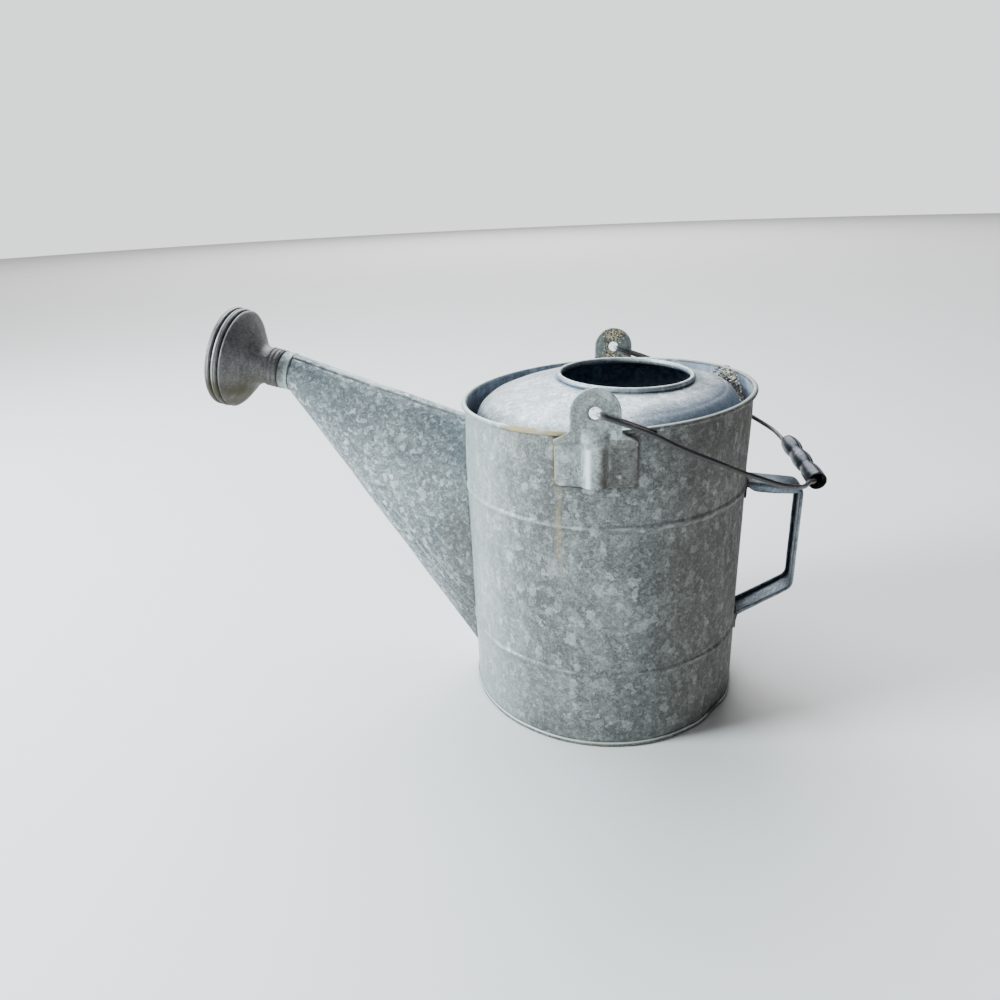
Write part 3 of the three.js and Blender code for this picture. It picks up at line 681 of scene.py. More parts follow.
@dataclass
class CanBody:
    """The round wall with its wired rim, and the base folded onto its foot."""

    radius: float = 120.0
    sheet: float = 0.9
    gap: float = 0.3
    lower_bead: float = 71.4
    upper_bead: float = 200.3
    bead_half_width: float = 3.4
    bead_proud: float = 1.4
    rim_height: float = 275.2
    rim_radius: float = 120.6
    rim_roll: float = 1.75
    rim_tilt: float = 0.042
    rim_shift: float = 1.2
    taper_start: float = 255.0
    seam_half_width: float = 3.5
    seam_proud: float = 0.8
    floor_height: float = 6.0
    base_lip: float = 4.5
    columns: int = 260
    dents: tuple[Dent, ...] = (
        Dent(-31, 6, 2.6, 15, 10), Dent(-52, 4, 1.0, 20, 8), Dent(-140, 150, 0.9, 26, 34),
        Dent(-28, 168, 1.2, 16, 30), Dent(-66, 108, 0.7, 30, 22), Dent(-118, 96, 0.6, 20, 30),
        Dent(60, 120, 1.4, 30, 26), Dent(105, 60, 1.0, 24, 20), Dent(140, 170, 1.1, 28, 30),
        Dent(-84, 28, 0.8, 28, 14),
    )

    def lean(self, point: Vector) -> Vector:
        """The upper wall has been pushed over, so the rim is tilted and off centre."""
        share = smoothstep(point.z, self.upper_bead + 2.6, self.rim_height)
        return Vector((point.x + self.rim_shift * share, point.y, point.z + self.rim_tilt * point.x * share))

    def bead(self, height: float) -> float:
        """How far a bead stands out of the wall at a height.

        Args:
            height: The height on the wall.

        Returns:
            The distance in millimetres.
        """
        proud = 0.0
        for middle in (self.lower_bead, self.upper_bead):
            off = abs(height - middle) / self.bead_half_width
            if off < 1:
                proud = self.bead_proud * (0.5 + 0.5 * cos(pi * off))
        return proud

    def push(self, angle: float, height: float) -> float:
        """How far wear has pushed the wall in or out.

        Args:
            angle: The angle in radians.
            height: The height on the wall.

        Returns:
            The distance, positive outwards.
        """
        inward = sum(dent.at(angle, height, self.radius) for dent in self.dents)
        x, y = cos(angle), sin(angle)
        ripple = noise.noise(Vector((x * 2.3, y * 2.3, height / 62))) * 0.42
        ripple += noise.noise(Vector((x * 7 + 5, y * 7, height / 21))) * 0.14
        calm = smoothstep(self.rim_height - height, 4, 30) * smoothstep(height, 0, 25)
        return ripple * calm - inward

    def wall_place(self, radius: float, angle: float, height: float) -> Vector:
        """The place of a point of the wall, with its seam, dents and lean.

        Args:
            radius: Its radius.
            angle: Its angle in radians.
            height: Its height.

        Returns:
            The place.
        """
        strip = abs(atan2(sin(angle), cos(angle))) * self.radius
        seam = self.seam_proud if strip < self.seam_half_width + 0.05 else 0.0
        seam *= 1 if self.bead(height) < 0.05 and self.base_lip < height < self.rim_height - 8 else 0
        r = radius + self.push(angle, height) + seam
        return self.lean(polar(r, angle, height))

    def outside(self, angle: float, height: float) -> float:
        """The radius of the wall's outer face."""
        return self.radius + self.bead(height) + self.push(angle, height)

    def columns_round(self) -> list[float]:
        """The angles of the wall's columns, close together at the lap seam.

        Returns:
            The angles in radians.
        """
        edge = self.seam_half_width / self.radius
        step = 0.25 / self.radius
        return round_angles(self.columns, [side * (edge + k * step) for side in (-1, 1) for k in (0, 1, 2)])

    def wall_line(self) -> Line:
        """The line of the wall from its foot to the end of the rolled rim.

        Returns:
            Radius and height points.
        """
        middle = self.radius - self.sheet / 2
        heights = [1.2 + i * 3.1 for i in range(82)]
        for bead in (self.lower_bead, self.upper_bead):
            heights = [h for h in heights if abs(h - bead) > self.bead_half_width + 1]
            heights += [bead + k * self.bead_half_width / 5 for k in range(-6, 7)]
        line = [(middle + self.bead(h), h) for h in sorted(heights) if h < self.taper_start]
        into = self.rim_radius - self.rim_roll
        line += [(lerp(middle, into, smoothstep(h, self.taper_start, self.rim_height - 6)), h)
                 for h in (self.taper_start, 258, 261, 264, 267, 270, 272.5)]
        return line + arc((self.rim_radius, self.rim_height), self.rim_roll, 180, -118, 18)

    def hole_in_wall(self, place: Vector, spout: "Spout") -> bool:
        """Tells whether a place on the wall lies in the hole behind the spout."""
        return place.x < -0.7 * self.radius and spout.holds(place, 0.84)

    def build(self, spout: "Spout") -> None:
        """Makes the wall, the wire in its rim and the base.

        Args:
            spout: The spout, for the hole behind it.
        """
        finish = GalvanisedSheet("galvanised_sheet_rain_streaked").build()
        vertices, faces = turned(self.wall_line(), self.columns_round(), self.wall_place)
        faces = [f for f in faces if not self.hole_in_wall(
            sum((vertices[i] for i in f), Vector()) / len(f), spout)]
        make_piece("can_wall", (vertices, faces), Body.CAN, Slot.WALL, finish, ["body_wall"], self.sheet,
                   paints={"stain": self.stain, "grime_and_shade": self.grime_and_shade, "bright": self.bright},
                   inside=inner_side(), rolled=self.in_roll)
        wire = [self.lean(polar(self.rim_radius, a, self.rim_height)) for a in round_angles(120)]
        ring = tube([*wire, wire[0]], 1.0, 10)
        make_piece("rim_core_wire", ring, Body.CAN, Slot.RIM_WIRE, RustedWire("rusted_rim_wire").build(),
                   ["rim_wire"])
        self.build_base()

    def in_roll(self, p: Vector) -> bool:
        """Tells whether a place lies in the rolled rim."""
        level = p.z - self.rim_tilt * p.x - self.rim_height
        return level > 0 or (level > -3 and hypot(p.x - self.rim_shift, p.y) > self.rim_radius - 0.6)

    def build_base(self) -> None:
        """Makes the recessed floor and the lip that is folded up round the wall's foot."""
        flange = self.radius - self.sheet - self.gap - self.sheet / 2
        lip = self.radius + self.gap + self.sheet / 2
        line = [(0.0, self.floor_height + 0.4), (40, self.floor_height + 0.4), (80, self.floor_height + 0.4),
                (100, self.floor_height + 0.4), (flange - 2, self.floor_height + 0.4),
                (flange - 0.4, self.floor_height), (flange, self.floor_height - 1), (flange, 2.0),
                (flange + 0.3, 0.75), (flange + 1.0, 0.45), (lip - 1.0, 0.45), (lip - 0.3, 0.75), (lip, 1.4),
                (lip + 0.05, 2.6), (lip, self.base_lip - 0.5), (lip - 0.25, self.base_lip)]

        def place(radius: float, angle: float, height: float) -> Vector:
            """The base follows the dents of the wall's foot.

            Args:
                radius: Its radius.
                angle: Its angle in radians.
                height: Its height.

            Returns:
                The place.
            """
            keep = smoothstep(radius, 60, flange)
            uneven = noise.noise(polar(3, angle, 4.2)) * 0.25
            r = radius + (self.push(angle, max(height, 1.0)) + uneven) * keep
            bow = 0.8 * noise.noise(polar(r / 40, angle, 1.0)) * (1 - smoothstep(radius, 80, 110))
            return polar(r, angle, height + bow)

        finish = GalvanisedSheet("galvanised_sheet_scuffed_foot", base="#7c807e", pale="#aab0ae",
                                 dark="#55574f", roughness=0.58).build()
        make_piece("base_pan_folded", turned(line, round_angles(220), place), Body.CAN, Slot.BASE, finish,
                   ["base_pan"], self.sheet, paints={
                       "bright": lambda p: 0.9 * smoothstep(p.z, 2.4, 3.9) * (hypot(p.x, p.y) > 119),
                       "grime_and_shade": lambda p: 0.75 - 0.6 * smoothstep(p.z, 0.2, 2.2)
                       + 0.4 * (hypot(p.x, p.y) < 116),
                       "stain": lambda p: 0.3 + 0.3 * noise.noise(p / 30)})

    def stain(self, p: Vector) -> float:
        """Yellow rust that has run from the rim and from the near ear.

        Args:
            p: The place.

        Returns:
            The layer's weight.
        """
        angle = degrees(atan2(p.y, p.x))
        rim = smoothstep(p.z, 268, 273) * smoothstep(angle, -128, -121) * (1 - smoothstep(angle, -101, -96))
        rim *= 0.95 + 0.6 * noise.noise(p / 6)
        runs = 0.0
        for middle, width, top, bottom, strength in (
                (-119.6, 0.9, 272, 214, 0.6), (-123.6, 0.5, 272, 246, 0.4), (-103.1, 1.6, 236, 120, 0.62),
                (-101.6, 0.6, 236, 190, 0.5), (-112, 0.6, 272, 254, 0.35), (-74.5, 0.5, 236, 206, 0.3),
                (70, 1.2, 236, 150, 0.5), (150, 1.0, 272, 210, 0.4)):
            across = hump(angle + 0.35 * sin(p.z / 14), middle, width)
            broken = 0.8 + 0.7 * noise.noise(Vector((angle, 0, p.z / 9)))
            runs = max(runs, strength * across * broken * smoothstep(p.z, bottom, bottom + 70) * (p.z < top))
        foot = 0.28 * (1 - smoothstep(p.z, 2, 14))
        patch = 0.3 * hump(angle, -26, 7) * hump(p.z, 262, 12)
        return max(0.85 * rim, runs, foot, patch)

    def grime_and_shade(self, p: Vector) -> float:
        """Painted shade under the rim and the beads, round the ears' plates and over the side away from the
        key light; dirt at the foot and in spots.

        Args:
            p: The place.

        Returns:
            The layer's weight.
        """
        angle = degrees(atan2(p.y, p.x))
        # Painted contact shadow round the ears' plates.
        off = max(abs(p.x) - 30.2, 233.8 - p.z, p.z - 271) if abs(p.y) > 100 else 40.0
        plate = 0.7 * hump(max(off, 0.0), 0.0, 1.3)
        under = 0.0
        # Painted shade just under each bead.
        for bead in (self.lower_bead, self.upper_bead):
            under = max(under, 0.4 * hump(p.z, bead - 3.4, 0.9))
        # Painted shade under the rolled rim.
        rim = 0.35 * hump(p.z, self.rim_height - 3.6, 1.4)
        foot = 0.35 * (1 - smoothstep(p.z, 3.5, 7))
        # Painted shade over the side that faces away from the key light.
        painted_shade_side = 0.56 * smoothstep(angle, -106, -46) * (1 - smoothstep(angle, 50, 110))
        spots = 0.6 * smoothstep(noise.noise(Vector((angle / 1.6, 3, p.z / 5))), 0.62, 0.72)
        spots *= smoothstep(angle, -48, -34) * (1 - smoothstep(angle, 0, 8))
        specks = 0.5 * smoothstep(noise.noise(Vector((angle / 0.9, 8, p.z / 2.2))), 0.7, 0.78)
        return max(plate, under, rim, foot, spots, specks, painted_shade_side)

    def bright(self, p: Vector) -> float:
        """Painted highlights along the beads and the top of the rim, and painted light over the side facing
        the key light.

        Args:
            p: The place.

        Returns:
            The layer's weight.
        """
        wear_and_highlight = 0.0
        # Painted highlight along the top of each bead, broken into patches.
        for bead in (self.lower_bead, self.upper_bead):
            patchy = 0.3 + 0.6 * noise.noise(Vector((p.x / 24, p.y / 24, bead)))
            wear_and_highlight = max(wear_and_highlight, patchy * hump(p.z, bead + 0.6, 1.2))
        level = p.z - self.rim_tilt * p.x - self.rim_height
        # Painted light over the side that faces the key light.
        painted_light_left = 0.44 * smoothstep(-p.x / self.radius, 0.1, 0.9)
        # The top of the rolled rim carries a painted highlight.
        return max(wear_and_highlight, painted_light_left, 0.75 * smoothstep(level, 0.6, 1.5))


@dataclass
class Hood:
    """The domed top with its wide rolled mouth."""

    body: CanBody
    skirt_low: float = 236.0
    skirt_high: float = 244.0
    shoulder_radius: float = 100.0
    shoulder_height: float = 275.0
    mouth_radius: float = 53.2
    mouth_height: float = 289.5
    mouth_offset: float = 17.4
    mouth_tilt: float = -0.026
    mouth_roll: float = 2.1
    sheet: float = 0.9

    def line(self) -> Line:
        """The line of the hood from its skirt to the end of the mouth's roll.

        Returns:
            Radius and height points.
        """
        skirt = self.body.radius - self.body.sheet - self.body.gap - self.sheet / 2
        radius, height = self.shoulder_radius, self.shoulder_height
        roll = self.mouth_radius + self.mouth_roll
        dome = smooth_line([
            (skirt, self.skirt_low), (skirt, self.skirt_high), (skirt - 2.6, self.skirt_high + 5),
            (radius + 11, height - 16), (radius + 6.5, height - 6), (radius, height),
            (radius - 9, height + 3.6), (radius - 22, height + 7), (roll + 12, self.mouth_height - 5.2),
            (roll + 5, self.mouth_height - 3.4), (self.mouth_radius + 1.6, self.mouth_height - 2.3)], 1.6)
        return dome + arc((roll, self.mouth_height), self.mouth_roll - self.sheet / 2, 200, -60, 16)

    def place(self, radius: float, angle: float, height: float) -> Vector:
        """The place of a point of the hood: its edge leans with the rim and its mouth sits off centre.

        Args:
            radius: Its radius.
            angle: Its angle in radians.
            height: Its height.

        Returns:
            The place.
        """
        roll = self.mouth_radius + self.mouth_roll
        share = 1 - smoothstep(radius, roll + 3, self.shoulder_radius + 8)
        x, y = cos(angle), sin(angle)
        soft = smoothstep(radius, roll + 4, roll + 16) * (1 - smoothstep(radius, 108, 116))
        dimple = noise.noise(Vector((x * radius / 34, y * radius / 34, 7.7))) * 0.7
        dimple += noise.noise(Vector((x * radius / 12, y * radius / 12, 2.1))) * 0.16
        pan = 0.4 * hump(radius, 95, 2.4)
        lift = (dimple - pan) * soft
        out = Vector((radius * x, radius * y, height + lift))
        mouth = out + Vector((self.mouth_offset, 0, self.mouth_tilt * out.x))
        return self.body.lean(out).lerp(mouth, share)

    def build(self) -> None:
        """Makes the hood."""
        # The bluish dark tint serves the specks and the darker channel, and paints shade on the right
        # shoulder and under the roll.
        finish = GalvanisedSheet("galvanised_sheet_pale_hood", base="#bac3c7", pale="#f2f8f9", dark="#7c848c",
                                 flake_share=0.24, flake_mm=6, roughness=0.4, streaks=0.2,
                                 stain="#877d66", grime_and_shade="#4b5665", bright="#c8cccb").build()
        dome = turned(self.line(), round_angles(240), self.place)
        make_piece("hood_dome", dome, Body.CAN, Slot.HOOD, finish, ["hood"], self.sheet,
                   paints={"grime_and_shade": self.grime_and_shade, "stain": self.stain, "bright": self.bright},
                   inside=inner_side(), rolled=self.in_roll)

    def in_roll(self, p: Vector) -> bool:
        """Tells whether a place lies in the mouth's roll."""
        return 0 < self.reach(p) - self.mouth_radius < 5 and p.z > self.mouth_height - 2.5

    def reach(self, p: Vector) -> float:
        """The distance of a place from the mouth's middle."""
        return hypot(p.x - self.mouth_offset, p.y)

    def grime_and_shade(self, p: Vector) -> float:
        """Darker low in the channel, dirt where the litter lies and in specks, painted shade under the
        mouth's roll and on the right shoulder.

        Args:
            p: The place.

        Returns:
            The layer's weight.
        """
        angle = degrees(atan2(p.y, p.x))
        radius = hypot(p.x, p.y)
        # Darker low in the channel, then dirt where the litter lies.
        channel = 0.55 * (1 - smoothstep(p.z - self.body.rim_tilt * p.x, 244, 266))
        litter = smoothstep(angle, -50, -15) * (1 - smoothstep(angle, 60, 95))
        channel += 0.45 * litter * (1 - smoothstep(p.z - self.body.rim_tilt * p.x, 250, 272))
        # Painted shade under the mouth's roll.
        throat = 0.75 * hump(self.reach(p), self.mouth_radius + 5.0, 1.0)
        specks = 0.55 * smoothstep(noise.noise(Vector((p.x / 3.1, p.y / 3.1, 1.0))), 0.6, 0.75)
        # Painted shade, bluish, on the shoulder away from the key light.
        painted_shade_side = 0.76 * smoothstep(angle, -98, -55) * (1 - smoothstep(angle, -15, 40))
        outer = specks * smoothstep(radius, 70, 95), painted_shade_side * smoothstep(radius, 66, 100)
        return max(channel, throat, *outer)

    def stain(self, p: Vector) -> float:
        """A brown bloom on the front left, over the stained rim.

        Args:
            p: The place.

        Returns:
            The layer's weight.
        """
        angle = degrees(atan2(p.y, p.x))
        bloom = hump(angle, -113, 14) * smoothstep(hypot(p.x, p.y), 92, 112)
        return 0.45 * bloom + 0.3 * smoothstep(noise.noise(p / 9), 0.35, 0.6)

    def bright(self, p: Vector) -> float:
        """The lighter roll of the mouth."""
        return 0.35 * (1 - smoothstep(self.reach(p), self.mouth_radius + 3.2, self.mouth_radius + 4.6))


@dataclass
class Spout:
    """The tapered spout, folded from one sheet with a lap along its top."""

    body: CanBody
    rose: "Rose"
    top_at_body: float = 251.8
    bottom_at_body: float = 18.5
    root_half_width: float = 37.0
    fullness: float = 0.16
    sheet: float = 0.9
    lap_near: float = -6.3
    lap_far: float = 4.5
    lap_proud: float = 0.8
    rings: int = 90
    wall_share: float = 0.7         # share of the length that sets the columns at the wall
    creases: tuple[tuple[float, float, float, float], ...] = (
        (103.0, 0.45, 0.7, 1.8), (121.0, 0.32, 0.9, 2.0), (129.0, 0.22, 1.0, 1.9), (139.0, 0.34, 0.8, 2.1),
        (-138.0, 0.2, 0.9, 2.4))
    crease_zone: tuple[float, float] = (radians(214), radians(264))

    def ends(self) -> tuple[Vector, Vector, Vector, Vector]:
        """The top and bottom of the neck and of the root.

        Returns:
            The neck's top and bottom, then the root's.
        """
        neck = self.rose.along(self.rose.flare_start)
        top = neck + self.rose.axis_up * self.rose.spout_neck
        bottom = neck - self.rose.axis_up * self.rose.spout_neck
        root = -0.8 * self.body.radius

        def carry(start: Vector, height: float) -> Vector:
            """Carries an edge on past the wall to the root."""
            slope = (start.z - height) / (-self.body.radius - start.x)
            return Vector((root, 0, start.z - slope * (root - start.x)))

        return top, bottom, carry(top, self.top_at_body), carry(bottom, self.bottom_at_body)

    def section(self, share: float) -> tuple[Vector, Vector, float, float]:
        """The middle, half height, half width and fullness of the spout at a share of its length.

        Args:
            share: The share of the length, from 0 at the neck to 1 at the root.

        Returns:
            The four, the half height as a vector.
        """
        top, bottom, root_top, root_bottom = self.ends()
        high, low = top.lerp(root_top, max(share, 0)), bottom.lerp(root_bottom, max(share, 0))
        if share < 0:
            shift = self.rose.axis * (-share * 100)
            high, low = high + shift, low + shift
        width = lerp(self.rose.spout_neck, self.root_half_width, max(share, 0) ** 0.8)
        return (high + low) / 2, (high - low) / 2, width, self.fullness * min(1, 2 * max(share, 0))

    def point(self, share: float, phi: float) -> Vector:
        """A point on the plain skin.

        Args:
            share: The share of the length.
            phi: The angle from the top, positive towards the far side.

        Returns:
            The place.
        """
        middle, half, width, full = self.section(share)
        side = sin(phi) * width * (1 + full * cos(phi))
        return middle + half * cos(phi) + Vector((0, side, 0))

    def unroll(self, place: Vector) -> tuple[float, float, float]:
        """Finds where a place lies along and across the spout.

        Args:
            place: A place on the skin or near it.

        Returns:
            The share of the length, then its height and width as shares of the section's half sizes.
        """
        top, _, root_top, _ = self.ends()
        share = (place.x - top.x) / (root_top.x - top.x)
        for _ in range(4):
            middle, half, width, full = self.section(share)
            up = (place.z - middle.z) / half.z if half.z else 2
            here = middle.x + half.x * up
            share += (place.x - here) / (root_top.x - top.x)
        return share, up, place.y / (width * (1 + full * max(min(up, 1), -1)))

    def holds(self, place: Vector, keep: float) -> bool:
        """Tells whether a place near the wall lies inside the shrunk section of the spout."""
        _, up, flat = self.unroll(place)
        return up * up + flat * flat < keep * keep

    def fold_line(self, p: Vector, shift: float, width: float) -> float:
        """How near a place is to a line beside one of the creases, from 0 to 1.

        Args:
            p: The place on the skin.
            shift: How far the line lies beside the crease's middle.
            width: The line's half width.

        Returns:
            The weight, less for a shallow crease.
        """
        share, up, flat = self.unroll(p)
        heading = degrees(atan2(flat, up))
        size = (p - self.section(share)[0]).length
        broken = smoothstep(noise.noise(Vector((p.x / 15, p.y / 15, p.z / 15 + shift))), -0.35, 0.3)
        return broken * max(
            depth * hump(radians(heading + angle) * size, shift, width)
            * smoothstep(share, start, start + 0.25) for angle, start, depth, _ in self.creases)

    def end_share(self, phi: float) -> float:
        """Where a line along the skin meets the wall.

        Args:
            phi: The line's angle from the top.

        Returns:
            The share of the length.
        """
        low, high = 0.2, 1.0
        for _ in range(26):
            share = (low + high) / 2
            p = self.point(share, phi)
            wall = self.body.outside(atan2(p.y, p.x), p.z) + 0.15
            lean = self.body.lean(p) - p
            if hypot(p.x - lean.x, p.y) > wall:
                low = share
            else:
                high = share
        return low

    def columns(self, share: float) -> list[float]:
        """Angles round the skin that keep the lap's edges at their width.

        Args:
            share: The share of the length.

        Returns:
            The angles in radians.
        """
        _, _, width, full = self.section(share)
        top_radius = width * (1 + full)
        near, far = self.lap_near / top_radius, self.lap_far / top_radius
        edge = 0.25 / top_radius
        lap = [near, *[lerp(near + edge, far - edge, k / 7) for k in range(8)], far]
        low, high = self.crease_zone
        rest = [lerp(far, low, k / 55) for k in range(1, 55)] + [lerp(low, high, k / 56) for k in range(57)]
        return lap + rest + [lerp(high, near + 2 * pi, k / 32) for k in range(1, 32)]

    def skin(self, share: float, phi: float, column: int) -> Vector:
        """A point of the skin with the lap, the creases and the dents.

        Args:
            share: The share of the length.
            phi: The angle from the top.
            column: The column's number.

        Returns:
            The place.
        """
        p = self.point(share, phi)
        middle = self.section(share)[0]
        out = (p - middle).normalized()
        lift = self.lap_proud * (1 - smoothstep(share, 0.86, 0.95)) if 1 <= column <= 8 else 0.0
        heading = degrees(atan2(sin(phi), cos(phi)))
        size = (p - middle).length
        for angle, start, depth, width in self.creases:
            off = radians(heading + angle) * size
            lift -= depth * hump(off, 0.0, width) * smoothstep(share, start, start + 0.2)
        calm = smoothstep(share, 0.02, 0.15)
        lift += calm * (noise.noise(p / 38) * 0.8 + noise.noise(p / 11) * 0.16)
        return p + out * lift

    def build(self) -> None:
        """Makes the spout and the solder where it meets the wall."""
        vertices: list[Vector] = []
        count = len(self.columns(0.0))
        last = self.columns(self.wall_share)
        ends = [self.end_share(phi) for phi in last]
        for ring in range(self.rings + 1):
            for column in range(count):
                if ring < 2:
                    share = -0.06 * (1 - ring / 2)
                else:
                    share = ends[column] * ((ring - 2) / (self.rings - 2))
                phi = last[column] if ring == self.rings else self.columns(max(share, 0))[column]
                vertices.append(self.skin(share, phi, column))
        grid = vertices, grid_faces(self.rings + 1, count, True)
        finish = GalvanisedSheet("galvanised_sheet_spout", base="#879093", pale="#cdd6d6", dark="#5f686d",
                                 flake_share=0.5, flake_mm=4.2, grain_mm=2.2, streaks=0.25).build()
        make_piece("spout_skin", grid, Body.CAN, Slot.SPOUT, finish, ["spout"], self.sheet, -1.0, {
            "grime_and_shade": self.grime_and_shade, "stain": self.stain, "bright": self.bright})
        root = [self.skin(ends[i], phi, 10) for i, phi in enumerate(last)]
        rim = [p + Vector((0.2, 0, 0)) for p in root]
        uneven = [0.75 + 0.35 * noise.noise(p / 7) for p in rim]
        solder = tube([*rim, rim[0]], lambda i: uneven[i % len(uneven)], 8)
        make_piece("spout_root_solder", solder, Body.CAN, Slot.SPOUT,
                   GalvanisedSheet("soft_solder_dull", base="#9aa0a0", pale="#cfd4d4", dark="#74797a",
                                   flake_share=0.1, roughness=0.4, metallic=0.7, bump_mm=0.12).build())

    def grime_and_shade(self, p: Vector) -> float:
        """Dirt low down and along the lap, a painted shadow of the body over the root, and painted shade
        beside the creases, on both faces of the sheet.

        Args:
            p: The place.

        Returns:
            The layer's weight.
        """
        low = 0.3 * smoothstep(noise.noise(p / 26), 0.1, 0.5)
        # Painted shadow cast by the body over the spout's root.
        root = 0.55 * smoothstep(-p.x - self.body.radius, 70, 1) * (1 - smoothstep(p.z, 150, 230))
        lap = 0.5 * hump(p.y, self.lap_near + 0.2, 0.7) * (1 - smoothstep(p.x, -230, -190))
        # The line beside each crease is painted shade.
        return max(low * (1 - smoothstep(p.z, 40, 150)), root, lap, 0.55 * self.fold_line(p, -0.6, 1.3))

    def stain(self, p: Vector) -> float:
        """Faint yellow low on the spout."""
        return 0.2 * smoothstep(noise.noise(p / 20), 0.25, 0.6)

    def bright(self, p: Vector) -> float:
        """Painted highlights along the top of the lap and beside the creases."""
        top = 0.55 * hump(p.y, 0.0, 7) * smoothstep(p.z, 230, 262)
        return max(top * smoothstep(noise.noise(p / 30), -0.2, 0.4), 0.6 * self.fold_line(p, 2.8, 1.2))


@dataclass
class Rose:
    """The sprinkling head, pushed over the ferrule at the spout's tip."""

    centre: Vector = field(default_factory=lambda: Vector((-339.8, 0, 307.4)))
    tilt: float = radians(14.3)
    radius: float = 44.6
    sheet: float = 0.8
    neck_radius: float = 16.5
    neck_end: float = 52.3
    neck_rings: tuple[float, ...] = (49.7, 46.0, 42.3)
    ring_height: float = 1.0
    seam_depth: float = 6.1
    dome: float = 5.2
    hole_radius: float = 0.95
    hole_pitch: float = 8.4
    hole_rings: int = 4
    face_columns: int = 120
    band_length: float = 9.0
    ferrule_reach: float = 23.0
    gap: float = 0.3
    spout_sheet: float = 0.9
    spout_neck: float = 15.6        # outside radius of the spout where the ferrule sits
    lap_angle: float = radians(51)

    @property
    def axis(self) -> Vector:
        """The direction in which the rose points."""
        return Vector((-cos(self.tilt), 0, sin(self.tilt)))

    @property
    def axis_up(self) -> Vector:
        """Square to the axis, upwards."""
        return Vector((sin(self.tilt), 0, cos(self.tilt)))

    @property
    def ferrule_step(self) -> float:
        """How far behind the front rim the ferrule steps in."""
        return self.neck_end + self.gap + self.sheet

    @property
    def flare_start(self) -> float:
        """How far behind the front rim the spout starts to widen."""
        return self.ferrule_step + self.band_length

    def along(self, back: float) -> Vector:
        """A place on the axis behind the front rim."""
        return self.centre - self.axis * back

    def place(self, radius: float, angle: float, height: float) -> Vector:
        """A place about the axis: angle 0 is up, and positive turns towards the near side."""
        return self.centre + self.axis * height + self.axis_up * (radius * cos(angle)) \
            + Vector((0, -radius * sin(angle), 0))

    def bell_place(self, radius: float, angle: float, height: float) -> Vector:
        """The bell with its lap seam and dents.

        Args:
            radius: Its radius.
            angle: Its angle in radians.
            height: Its height.

        Returns:
            The place.
        """
        off = abs(atan2(sin(angle - self.lap_angle), cos(angle - self.lap_angle))) * radius
        groove = 0.4 if off < 0.35 and height < -30 else 0.0
        soft = smoothstep(-height, 14, 20) * (1 - smoothstep(-height, 34, 38))
        dimple = noise.noise(polar(1.7, angle, height / 18)) * 0.9 * soft
        return self.place(radius - groove + dimple, angle, height)

    def bell_line(self) -> Line:
        """The line of the bell from its neck to its folded rim.

        Returns:
            Radius and height points.
        """
        neck, radius = self.neck_radius - self.sheet / 2, self.radius - self.sheet / 2
        line: Line = [(neck, -self.neck_end)]
        for at in self.neck_rings:
            line += [(neck + self.ring_height * (1 + cos(pi * k / 4)) / 2, -at + k * 0.37)
                     for k in range(-4, 5)]
        bell = smooth_line([
            (neck + 0.1, -39.6), (neck + 0.4, -37.3), (neck + 1.5, -34.3),
            (neck + 4.3, -31.1), (neck + 9.1, -27.1), (radius - 12.4, -22.9),
            (radius - 6.8, -18.9), (radius - 2.6, -15.8), (radius - 0.8, -13.8)], 1.4)
        rim = smooth_line([
            (radius - 1.1, -13.2), (radius - 3.0, -12.8), (radius - 3.2, -11.9),
            (radius - 2.9, -11.0), (radius - 0.8, -10.4), (radius, -8.6),
            (radius - 0.5, -7.0), (radius - 1.9, -self.seam_depth)], 0.4)
        return line + bell + rim

    def build(self) -> None:
        """Makes the ferrule, the bell and the pierced front."""
        lap = [self.lap_angle + k * 0.3 / self.radius for k in range(-3, 4)]
        # The near black tint paints shade in the grooves, the greenish brown one darkens the lower side as
        # tarnish and painted shade, and the pale one paints highlights on the crests.
        dull = GalvanisedSheet("galvanised_sheet_tarnished_rose", base="#7b7777", pale="#999795",
                               dark="#524f51", flake_share=0.14, flake_mm=6, roughness=0.46, streaks=0.25,
                               stain="#3f3927", grime_and_shade="#1a1918", bright="#c9ced0", metallic=0.35).build()
        bell = turned(self.bell_line(), round_angles(160, lap), self.bell_place)
        make_piece("rose_bell_spun", bell, Body.ROSE, Slot.ROSE, dull, ["rose_bell"], self.sheet,
                   paints={"grime_and_shade": self.grime_and_shade, "stain": self.stain, "bright": self.bright})
        self.build_face(dull)
        self.build_ferrule()

    def build_face(self, finish: bpy.types.Material) -> None:
        """Makes the domed front with its ring of holes and its folded rim.

        Args:
            finish: Its material.
        """
        half = self.sheet / 2
        edge = self.radius - 2.4 - half

        def height(r: float) -> float:
            """The height of the dome at a radius."""
            return self.dome * (1 - (r / edge) ** 2) - 0.4

